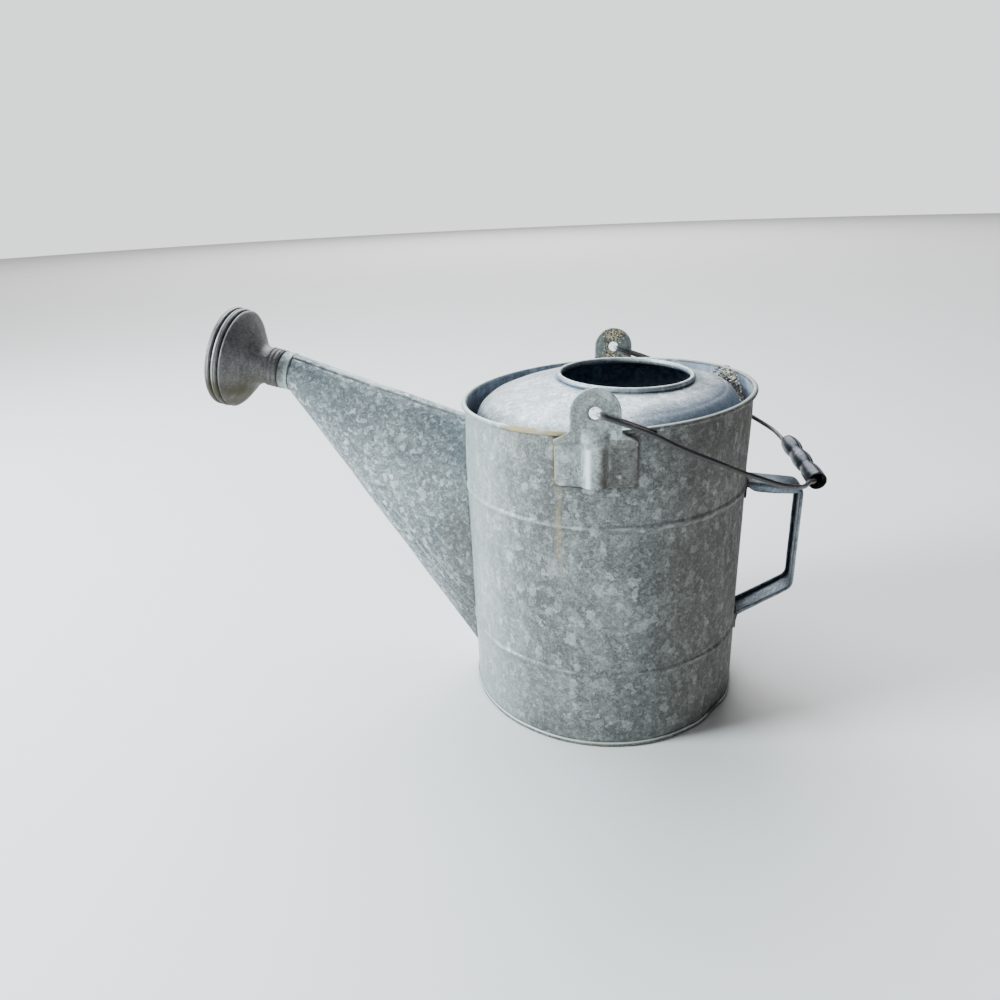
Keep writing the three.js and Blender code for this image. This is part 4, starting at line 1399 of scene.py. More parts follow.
        middles = [(0.0, 0.0)]
        for ring in range(1, self.hole_rings + 1):
            away = ring * self.hole_pitch
            turns = [(i + (ring % 2) / 2) * pi / (3 * ring) for i in range(6 * ring)]
            middles += [(away * cos(a), away * sin(a)) for a in turns]
        holes = [circle(x, y, self.hole_radius, 12) for x, y in middles]
        flat, triangles = cut_sheet(circle(0.0, 0.0, edge, self.face_columns), holes, 1.5)
        vertices = []
        for x, y in flat:
            burr = 0.35 * hump(min(hypot(x - cx, y - cy) for cx, cy in middles), self.hole_radius, 0.7)
            r = hypot(x, y)
            vertices.append(self.place(r, atan2(y, x), height(r) + burr))
        rim = smooth_line([(edge, -0.4), (self.radius - 1.2 - half, -0.7), (self.radius - 0.4 - half, -1.5),
                           (self.radius - half, -3), (self.radius - 0.4 - half, -4.5),
                           (self.radius - 1.9 - half, -self.seam_depth + self.sheet + self.gap)], 0.5)
        grid = joined([(vertices, triangles), turned(rim, round_angles(self.face_columns), self.place)])
        make_piece("rose_front_pierced", grid, Body.ROSE, Slot.ROSE, finish, ["rose_face"], self.sheet,
                   paints={"grime_and_shade": lambda p: 0.25, "bright": self.bright, "stain": self.stain})

    def build_ferrule(self) -> None:
        """Makes the stepped tube between the spout and the rose."""
        band = self.spout_neck + self.gap + self.spout_sheet / 2
        inner = self.neck_radius - self.sheet - self.gap - self.spout_sheet / 2
        step = -self.ferrule_step + self.spout_sheet / 2 - 0.1
        line = [(band, -self.flare_start - 0.4), (band + 0.15, -self.flare_start + 0.4), (band, step - 1.2),
                (band - 0.5, step - 0.3), (band - 1.2, step), (inner + 0.6, step), (inner, step + 0.5)]
        line += [(inner, step + k * self.ferrule_reach / 5) for k in range(1, 6)]
        finish = GalvanisedSheet("galvanised_sheet_ferrule", base="#868c8e", pale="#b0b6b7", dark="#5b5d5a",
                                 flake_share=0.3, flake_mm=4).build()
        make_piece("spout_ferrule_tube", turned(line, round_angles(120), self.place), Body.CAN, Slot.FERRULE,
                   finish, ["spout_ferrule"], self.spout_sheet, paints={
                       "grime_and_shade": lambda p: 0.7 if -self.depth(p) > step - 0.9 else 0.15,
                       "bright": lambda p: 0.5 if self.depth(p) > self.flare_start - 0.8 else 0.0})

    def depth(self, p: Vector) -> float:
        """How far behind the front rim a place is."""
        return -(p - self.centre).dot(self.axis)

    def grime_and_shade(self, p: Vector) -> float:
        """Painted shade in the rim's groove, between the neck's rings and low on the rose, and a dark line
        along the lap seam, on both faces of the sheet.

        Args:
            p: The place.

        Returns:
            The layer's weight.
        """
        back = self.depth(p)
        # Painted shade in the grooves of the folded rim.
        groove = hump(back, 12.0, 1.1) + 0.9 * hump(back, 5.9, 0.7)
        groove += 0.7 * hump(back, 8.5, 0.3)
        # Painted shade between the neck's rings.
        rings = sum(0.5 * hump(back, at, 0.7) for at in (47.8, 44.1, 51.6, 40.4))
        # Painted shade on the lower side of the rose.
        low = 0.2 * smoothstep(-(p - self.centre).dot(self.axis_up), 10, 36)
        angle = atan2(-(p.y), (p - self.along(back)).dot(self.axis_up))
        lap = 0.7 if abs(angle - self.lap_angle) * 20 < 0.4 and 30 < back < 43 else 0.0
        return max(groove, rings, low, lap)

    def stain(self, p: Vector) -> float:
        """Greenish brown low on the bell: partly tarnish, partly painted shade on its lower side."""
        low = smoothstep(-(p - self.centre).dot(self.axis_up), -20, 24)
        return 0.95 * low * (0.8 + 0.3 * noise.noise(p / 12))

    def bright(self, p: Vector) -> float:
        """Painted highlights on the crests of the rings that are rolled into the rim.

        Args:
            p: The place.

        Returns:
            The layer's weight.
        """
        back = self.depth(p)
        crests = sum(share * hump(back, at, 0.55)
                     for at, share in ((9.5, 0.7), (7.5, 0.8), (3.4, 0.9), (1.6, 0.5), (13.9, 0.35)))
        return crests * (0.85 + 0.4 * noise.noise(p / 14))


@dataclass
class Ear:
    """A pressed plate that is soldered to the wall and holds one end of the bail."""

    body: CanBody
    name: str
    node_name: str
    turn: float
    drop: float
    weathered: bool
    thickness: float = 1.1
    lobe_radius: float = 18.0
    hole_height: float = 290.8
    hole_radius: float = 4.65
    base_half: float = 29.7
    base_low: float = 234.5
    shoulder_low: float = 270.8
    shoulder_high: float = 276.5
    rib_half: float = 9.2
    rib_height: float = 5.2
    border: float = 3.6
    border_height: float = 0.36

    def stand(self, x: float, z: float) -> float:
        """How far the inner face stands from the can's axis.

        Args:
            x: The width from the plate's middle.
            z: The height.

        Returns:
            The distance.
        """
        inner = self.body.rim_radius + self.body.rim_roll + self.body.sheet / 2 + self.body.gap
        on_wall = sqrt((self.body.radius + 0.2 * self.body.bead_proud + self.body.gap) ** 2 - x * x)
        step = smoothstep(z, self.body.rim_height - 11, self.body.rim_height - 4)
        fade = 1 - smoothstep(z, self.body.rim_height - 8, self.body.rim_height + 6.5)
        arch = sqrt(max(0.0, 1 - (x / self.rib_half) ** 2))
        lobe = hypot(x, z - self.hole_height) if z > self.hole_height else abs(x)
        rim = smoothstep(lobe, self.lobe_radius - self.border - 0.9, self.lobe_radius - self.border + 0.4)
        rim *= smoothstep(z, self.shoulder_high + 2, self.shoulder_high + 8)
        ring = hump(hypot(x, z - self.hole_height), self.hole_radius + 1.6, 1.0)
        bend = lerp(on_wall, inner, step)
        return bend + self.rib_height * arch * fade + self.border_height * rim + 0.35 * ring

    def outline(self) -> list[tuple[float, float]]:
        """The outline of the plate in width and height, from the middle of its foot.

        Returns:
            Its corners, in order.
        """
        half, low, lobe = self.base_half, self.base_low, self.lobe_radius
        side: list[tuple[float, float]] = [(0.0, low), (6.0, low), (12.0, low), (18.0, low), (half - 4, low)]
        side += [(half - 4 + 4 * sin(a), low + 4 - 4 * cos(a)) for a in (0.4, 0.8, 1.2)]
        side += [(half, lerp(low + 4, self.shoulder_low, k / 14)) for k in range(15)]
        side += [(lerp(half, lobe + 2.5, k / 5), lerp(self.shoulder_low, self.shoulder_high - 1, k / 5))
                 for k in range(1, 6)]
        side += [(lobe + 0.8, self.shoulder_high + 0.6), (lobe, self.shoulder_high + 4)]
        side += [(lobe, lerp(self.shoulder_high + 4, self.hole_height, k / 5)) for k in range(1, 5)]
        side += [(lobe * cos(a), self.hole_height + lobe * sin(a))
                 for a in (pi / 2 * k / 18 for k in range(19))]
        return side + [(-x, z) for x, z in reversed(side[1:-1])]

    def place(self, x: float, z: float, out: float = 0.0) -> Vector:
        """A place on the plate, turned to this ear's side of the can.

        Args:
            x: The width from its middle.
            z: The height.
            out: How far it lies outside the sheet's middle.

        Returns:
            The place.
        """
        y = -(self.stand(x, z) + self.thickness / 2 + out)
        c, s = cos(self.turn), sin(self.turn)
        return Vector((x * c - y * s, x * s + y * c, z - self.drop))

    def build(self) -> None:
        """Makes the plate and its solder spots."""
        hole = circle(0.0, self.hole_height, self.hole_radius, 28)
        flat, triangles = cut_sheet(self.outline(), [hole], 1.15)
        grid = [self.place(x, z) for x, z in flat], triangles
        # The near ear's pale bright tint paints highlights on the rib's crest and the lobe's border.
        colours = {"base": "#767b79", "pale": "#a9afac", "grime_and_shade": "#5a5648"} if self.weathered else {
            "base": "#a0a7a7", "pale": "#dae0e0", "dark": "#6d7272", "bright": "#e6efef"}
        finish = GalvanisedSheet(f"galvanised_plate_{self.name}", flake_share=0.3, flake_mm=6, streaks=0.4,
                                 **colours).build()
        make_piece(f"{self.name}_plate", grid, Body.CAN, Slot.EAR, finish, [self.node_name], self.thickness,
                   paints={"grime_and_shade": self.grime_and_shade, "stain": self.stain, "bright": self.bright})
        self.build_spots(finish)

    def build_spots(self, finish: bpy.types.Material) -> None:
        """Makes the small raised marks where the plate is fixed to the wall.

        Args:
            finish: Their material.
        """
        spots = []
        for x, z, size in ((-5.0, 266.0, 1.6), (17.0, 243.0, 2.2), (-19.0, 244.0, 1.8), (21.0, 262.0, 1.5)):
            vertices: list[Vector] = []
            for rise in (k * pi / 6 for k in range(4)):
                for a in round_angles(14):
                    r = size * cos(rise) * (1 + 0.12 * sin(3 * a + x))
                    lift = self.thickness / 2 + 0.7 * sin(rise) - 0.1
                    vertices.append(self.place(x + r * cos(a), z + r * sin(a), lift))
            spots.append((vertices, grid_faces(4, 14, True)))
        make_piece(f"{self.name}_solder_spots", joined(spots), Body.CAN, Slot.EAR, finish,
                   paints={"grime_and_shade": lambda p: 0.3, "bright": lambda p: 0.0, "stain": lambda p: 0.1})

    def own(self, p: Vector) -> tuple[float, float]:
        """The width and height of a place on this ear's plate."""
        c, s = cos(-self.turn), sin(-self.turn)
        return p.x * c - p.y * s, p.z + self.drop

    def grime_and_shade(self, p: Vector) -> float:
        """Dirt round the hole, a painted shadow under the shoulder, painted shade beside the rib and over the
        plate's right side, and lichen on the weathered ear.

        Args:
            p: The place.

        Returns:
            The layer's weight.
        """
        x, z = self.own(p)
        ring = hypot(x, z - self.hole_height) - self.hole_radius
        dirt_and_shade = 0.5 * hump(ring, 0.0, 2.2)
        # Painted shadow under the shoulder, where the plate steps over the bead.
        dirt_and_shade = max(dirt_and_shade, 0.35 * hump(z, self.body.rim_height - 7, 2.2))
        # Painted shade on the right flank of the rib, and on the plate's right side below the shoulder.
        rib_shade = hump(x, 6.5, 3.4) * (1 - smoothstep(z, 264, 272))
        dirt_and_shade = max(dirt_and_shade, 0.0 if self.weathered else 0.75 * rib_shade, 0.58 * smoothstep(x, 2, 14) * (z < 272))
        if self.weathered:
            crown = hump(x, 3, 9) * hump(z, 303, 5.5)
            column = hump(x, 1, 4) * smoothstep(z, 276, 281)
            foot = hump(z, 279, 4)
            dirt_and_shade = max(dirt_and_shade, 0.7 * max(crown, column, 0.8 * foot) * (0.6 + 0.9 * noise.noise(p / 3)))
        return dirt_and_shade

    def stain(self, p: Vector) -> float:
        """Yellow along the left edge of the near plate.

        Args:
            p: The place.

        Returns:
            The layer's weight.
        """
        x, z = self.own(p)
        edge = 0.95 * hump(x, -self.base_half, 0.9)
        shoulder = 0.8 * hump(x, -25, 5) * hump(z, self.shoulder_low + 2.0, 1.4)
        ends = 0.3 * smoothstep(noise.noise(p / 7), 0.2, 0.6)
        return max(ends, 0.0 if self.weathered else max(edge, shoulder))

    def bright(self, p: Vector) -> float:
        """Painted highlights on the raised border of the lobe and the crest of the rib.

        Args:
            p: The place.

        Returns:
            The layer's weight.
        """
        x, z = self.own(p)
        lobe = hypot(x, z - self.hole_height) if z > self.hole_height else abs(x)
        border = 0.4 * smoothstep(lobe - self.lobe_radius, -2.2, -0.8) * (z > self.shoulder_high)
        rib = 0.8 * hump(x, -4.6, 2.6) * (1 - smoothstep(z, 262, 270))
        return max(border, rib)


@dataclass
class StrapHandle:
    """The bent strap behind the can, with rolled edges and a foot at each end."""

    body: CanBody
    width: float = 27.0
    sheet: float = 0.9
    lip: float = 7.4
    flat_lip: float = 0.24
    foot_lip: float = 0.42
    reach: float = 167.2
    top_at_body: float = 200.2
    top_at_corner: float = 196.5
    low_at_corner: float = 101.2
    low_at_body: float = 70.0
    top_bend: float = 9.0
    low_bend: float = 12.0

    def path(self) -> tuple[list[Vector], list[float], list[float]]:
        """Runs the line of the strap's outer face down from the wall, round both bends and back.

        Returns:
            The points, the share of the length at each point, and the share at each bend's ends.
        """
        wall = self.body.radius + 1.2
        corners = [Vector((x, 0, z)) for x, z in (
            (wall, self.top_at_body), (self.reach, self.top_at_corner), (self.reach, self.low_at_corner),
            (wall, self.low_at_body - 0.4))]
        points = [corners[0]]
        marks = [0]
        bends = self.top_bend, self.low_bend
        for before, corner, after, bend in zip(corners, corners[1:], corners[2:], bends):
            back, ahead = (before - corner).normalized(), (after - corner).normalized()
            cut = bend / tan(back.angle(ahead) / 2)
            enter, leave = corner + back * cut, corner + ahead * cut
            start = points[-1]
            points += [start.lerp(enter, k / 12) for k in range(1, 13)]
            marks.append(len(points) - 1)
            points += [(enter * (1 - t) + corner * t) * (1 - t) + (corner * (1 - t) + leave * t) * t
                       for t in (k / 8 for k in range(1, 9))]
            marks.append(len(points) - 1)
        start = points[-1]
        points += [start.lerp(corners[-1], k / 14) for k in range(1, 15)]
        lengths = [0.0]
        for a, b in zip(points, points[1:]):
            lengths.append(lengths[-1] + (b - a).length)
        shares = [length / lengths[-1] for length in lengths]
        return points, shares, [shares[m] for m in marks]

    def section(self) -> list[tuple[float, float]]:
        """Half of the strap's section: width from the middle and depth towards the body.

        Returns:
            Width and depth points.
        """
        half, deep = self.width / 2, self.lip
        crown = [(0.0, -0.5), (half * 0.35, -0.42), (half * 0.65, -0.25), (half - 2.6, 0.0)]
        edge = [(half - 1.4, 0.25), (half - 0.6, 0.9), (half - 0.1, 1.9), (half, 3.0), (half, deep * 0.6),
                (half - 0.1, deep - 1.4), (half - 0.5, deep - 0.4), (half - 1.1, deep),
                (half - 1.7, deep - 0.4), (half - 2.1, deep - 1.2), (half - 1.9, deep - 1.8)]
        return crown + edge

    def build(self) -> None:
        """Makes the strap and its two feet."""
        points, shares, marks = self.path()
        lips = [(0.0, self.foot_lip), (0.2 * marks[1], 1.0), (0.6 * marks[1], 1.0), (marks[1], 0.8),
                (marks[2], self.flat_lip), (marks[3], self.flat_lip), (1.0, self.foot_lip)]
        half = self.section()
        section = [(-x, d) for x, d in reversed(half[1:])] + half
        vertices = []
        for i, point in enumerate(points):
            along = (points[min(i + 1, len(points) - 1)] - points[max(i - 1, 0)]).normalized()
            inward = Vector((along.z, 0, -along.x))
            keep = ramp(lips, shares[i])
            for x, depth in section:
                deep = self.sheet + (depth - self.sheet) * keep if depth > self.sheet else depth
                uneven = 0.25 * noise.noise(Vector((point.x / 16, x / 16, point.z / 16)))
                vertices.append(point + inward * (deep + self.sheet / 2 + uneven) + Vector((0, x, 0)))
        grid = vertices, grid_faces(len(points), len(section), False)
        finish = GalvanisedSheet("galvanised_strap_bluish", base="#66717b", pale="#97a2ab", dark="#434b54",
                                 flake_share=0.3, flake_mm=6, streaks=0.6, roughness=0.42, metallic=0.65,
                                 stain="#6d6656", bright="#aeb7bf").build()
        make_piece("strap_handle", grid, Body.CAN, Slot.HANDLE, finish, ["rear_handle"], self.sheet, paints={
            "grime_and_shade": self.grime_and_shade, "bright": self.bright,
            "stain": lambda p: 0.25 * smoothstep(noise.noise(p / 9), 0.1, 0.5)})
        self.build_feet(finish)

    def build_feet(self, finish: bpy.types.Material) -> None:
        """Makes the tapered plates by which the strap is soldered to the wall.

        Args:
            finish: Their material.
        """
        for name, top, bottom in (("upper", self.top_at_body - 1.0, self.top_at_body - 19),
                                  ("lower", self.low_at_body + 2.0, self.low_at_body - 19)):
            steps = 12
            outline = [(12.5, top), (12.8, lerp(top, bottom, 0.35)), (11.6, lerp(top, bottom, 0.65))]
            outline += [(9.5 * cos(a), lerp(top, bottom, 0.72) - 5.0 * sin(a))
                        for a in (pi / 2 * k / steps for k in range(1, steps))]
            outline += [(-x, z) for x, z in reversed(outline)]
            outline += [(lerp(-12.5, 12.5, k / 10), top) for k in range(1, 10)]
            flat, triangles = cut_sheet(outline, [], 1.6)
            radius = self.body.radius + self.body.seam_proud + self.body.gap + self.sheet / 2
            vertices = [self.body.lean(polar(radius, y / radius, z)) + Vector((self.body.bead(z), 0, 0))
                        for y, z in flat]
            make_piece(f"strap_foot_{name}", (vertices, triangles), Body.CAN, Slot.HANDLE, finish,
                       thickness=self.sheet, paints={
                           "grime_and_shade": lambda p: 0.35 + 0.3 * noise.noise(p / 6), "bright": lambda p: 0.1,
                           "stain": lambda p: 0.35})

    def grime_and_shade(self, p: Vector) -> float:
        """Darker near the wall at the feet, with patches of dirt along the strap."""
        near_wall = 1 - smoothstep(hypot(p.x, p.y), self.body.radius + 1, self.body.radius + 12)
        return max(0.5 * near_wall, 0.3 * smoothstep(noise.noise(p / 13), 0.0, 0.5))

    def bright(self, p: Vector) -> float:
        """The edges rubbed by hands."""
        edge = smoothstep(abs(p.y), self.width / 2 - 1.2, self.width / 2 - 0.4)
        return 0.45 * edge * (0.6 + 0.6 * noise.noise(p / 14))


@dataclass
class Bail:
    """The wire bail, hooked through both ears, and the sheet grip that is loose on it."""

    body: CanBody
    wire: float = 1.85
    hook_gap: float = 0.4
    ear_thickness: float = 1.1
    hole_height: float = 290.8
    hole_radius: float = 4.65
    far_shift: float = 2.6
    far_drop: float = 2.7
    droop: float = radians(19.5)
    tail: float = 42.0
    straight: float = 36.0
    sag: float = 0.1105             # slope of the arch below the straight arms
    sag_start: float = 32.0
    reach: float = 183.1
    far_reach: float = 168.3
    near_knees: tuple[tuple[float, float], ...] = ((60, 2.4), (92, 9.4), (142, 30), (162, 51))
    far_knees: tuple[tuple[float, float], ...] = ((60, 7), (105, 25), (144, 41.3), (160, 53))
    near_y: float = -37.0
    far_y: float = 42.0
    hang_near: float = 2.6
    hang_far: tuple[float, float] = (1.6, 2.3)
    bulge: float = 7.5
    waist: float = 6.5
    end_hole: float = 5.5
    sheet: float = 0.8

    def __post_init__(self) -> None:
        """Works out the pivot line from the ears."""
        inner = self.body.rim_radius + self.body.rim_roll + self.body.sheet / 2 + self.body.gap
        self.arm_y = inner + self.ear_thickness + self.hook_gap + self.wire
        self.tail_y = inner - self.hook_gap - self.wire
        self.hook_y = (self.arm_y + self.tail_y) / 2
        play = self.hole_radius - self.wire - self.body.gap
        self.pivot = Vector((play * cos(self.droop) + self.far_shift / 2, 0,
                             self.hole_height - play * sin(self.droop) - self.far_drop / 2))
        line = Vector((self.far_shift, 2 * self.hook_y, -self.far_drop)).normalized()
        arm = Vector((cos(self.droop), 0, -sin(self.droop)))
        arm = (arm - line * arm.dot(line)).normalized()
        lift = arm.cross(line)
        self.turn = Matrix((arm, line, lift)).transposed()

    def place(self, x: float, y: float, z: float) -> Vector:
        """A place in the can's frame from the bail's own: X along the arms, Y along the pivot line."""
        return self.pivot + self.turn @ Vector((x, y, z))

    def drop(self, x: float) -> float:
        """How far the arch sags below the straight arms."""
        return -self.sag * (x - self.sag_start)

    def arm(self, side: int, knees: Sequence[tuple[float, float]]) -> list[Vector]:
        """The tail, the hook and one arm.

        Args:
            side: -1 for the near arm and 1 for the far one.
            knees: Places along the arm and how far each lies inside the ear's plane.

        Returns:
            Points from the tail's end to the last knee.
        """
        bend = (self.arm_y - self.tail_y) / 2
        hook = [self.place(bend * (1 - sin(a)), side * (self.hook_y - bend * cos(a)), 0)
                for a in (pi * k / 10 for k in range(11))]
        tail = [self.place(lerp(self.tail, bend + 1, k / 6), side * self.tail_y, 0) for k in range(6)]
        knots = [self.place(bend, side * self.arm_y, 0), self.place(self.straight, side * self.arm_y, 0)]
        knots += [self.place(x, side * (self.arm_y - inset), self.drop(x)) for x, inset in knees]
        return [*tail, *hook, *smooth_curve(knots, 3.0)[1:]]

    def ends(self) -> tuple[Vector, Vector, Vector, Vector]:
        """The grip's near and far middle, and the wire's place at each.

        Returns:
            The four places.
        """
        far_wire = Vector((self.far_reach, self.far_y, self.drop(self.far_reach)))
        near = Vector((self.reach, self.near_y, self.drop(self.reach)))
        near_wire = near - Vector((self.hang_near, 0, 0))
        far = far_wire + Vector((self.hang_far[0], 0, self.hang_far[1]))
        return tuple(self.place(*p) for p in (near, far, near_wire, far_wire))

    def build(self) -> None:
        """Makes the wire and the grip."""
        near, far, near_wire, far_wire = self.ends()
        near_end = (self.reach - 10, self.arm_y + self.near_y - 15)
        far_end = (self.far_reach - 1.5, self.arm_y - self.far_y - 14)
        near_side = self.arm(-1, [*self.near_knees, near_end])
        far_side = self.arm(1, [*self.far_knees, far_end])[::-1]
        bridge = smooth_curve([*near_side[-2:], near_wire, near_wire.lerp(far_wire, 0.5), far_wire,
                               *far_side[:2]], 3.0)
        inner = [p for p in bridge if (p - near_side[-1]).length > 1 and (p - far_side[0]).length > 1
                 and near_side[-1].y < p.y < far_side[0].y]
        path = [*near_side, *inner, *far_side]
        bent = [p + Vector((0, 0, 0.35 * noise.noise(p / 23))) * smoothstep(p.x, 30, 70) for p in path]
        finish = RustedWire("steel_wire_rusted").build()
        eyes = [self.place(0, side * self.hook_y, 0) for side in (-1, 1)]
        rod = tube(bent, self.wire, 16)
        make_piece("bail_rod", rod, Body.BAIL, Slot.WIRE, finish, ["bail_wire"], paints={
            "bright": lambda p: 0.85 * (1 - smoothstep(min((p - eye).length for eye in eyes), 2.5, 6.5))})
        self.build_grip(near, far)

    def build_grip(self, near: Vector, far: Vector) -> None:
        """Makes the grip: a sheet rolled to a tube with three swellings, its edges meeting in a seam.

        Args:
            near: The middle of its near end.
            far: The middle of its far end.
        """
        length = (far - near).length
        axis = (far - near).normalized()
        up = (Vector((0, 0, 1)) - axis * axis.z).normalized()
        side = axis.cross(up)
        profile = smooth_line([(r - self.sheet / 2, share * length) for r, share in (
            (self.bulge - 0.25, 0.0), (self.bulge, 0.07), (self.bulge, 0.16), (self.bulge - 0.5, 0.25),
            (self.waist - 0.6, 0.32), (self.bulge - 0.6, 0.39), (self.bulge, 0.5), (self.bulge - 0.6, 0.6),
            (self.waist - 0.6, 0.67), (self.bulge - 0.6, 0.74), (self.bulge, 0.83), (self.bulge - 0.5, 0.92),
            (self.waist, 0.97), (self.end_hole + self.sheet / 2, 1.0))], 1.2)
        seam = radians(24)
        opening = 0.045
        angles = [seam + opening + (2 * pi - 2 * opening) * k / 72 for k in range(73)]
        vertices = []
        for r, z in profile:
            for k, a in enumerate(angles):
                tuck = 0.35 * exp(-min(k, 72 - k) / 1.4) * smoothstep(z / length, 0.0, 0.1)
                out = r - tuck + 0.04 * noise.noise(polar(2, a, z / 9))
                vertices.append(near + axis * z + (up * cos(a) + side * sin(a)) * out)
        finish = GalvanisedSheet("steel_sheet_grip_dark", base="#3d434e", pale="#757f8d", dark="#202329",
                                 flake_share=0.15, flake_mm=5, grain_mm=2.4, roughness=0.3, metallic=0.8,
                                 streaks=0.15, grime_and_shade="#121314", bright="#8f98a4", stain="#3a3b36",
                                 bump_mm=0.02).build()
        # The inner face is painted near black as the shade inside the tube.
        grip_inside_shade = GalvanisedSheet("steel_sheet_grip_inside_painted_shade", base="#17181a", pale="#24262a", dark="#0c0c0d",
                                 flake_share=0.1, metallic=0.3, roughness=0.7).build()

        def dirt_and_shade(p: Vector) -> float:
            """Painted shade: black on the underside and inside the open end.

            Args:
                p: The place.

            Returns:
                The layer's weight.
            """
            rel = p - near
            off = rel - axis * rel.dot(axis)
            return max(0.6 * smoothstep(-off.dot(up), 2.5, 6.5), 0.6 * (1 - smoothstep(rel.dot(axis), 0, 2)))

        shell = vertices, grid_faces(len(profile), len(angles), False)
        make_piece("grip_shell", shell, Body.GRIP, Slot.GRIP, finish, ["grip"], self.sheet, inside=grip_inside_shade,
                   paints={"grime_and_shade": dirt_and_shade, "stain": lambda p: 0.2,
                           "bright": lambda p: 0.3 * smoothstep(noise.noise(p / 8), 0.1, 0.5)})


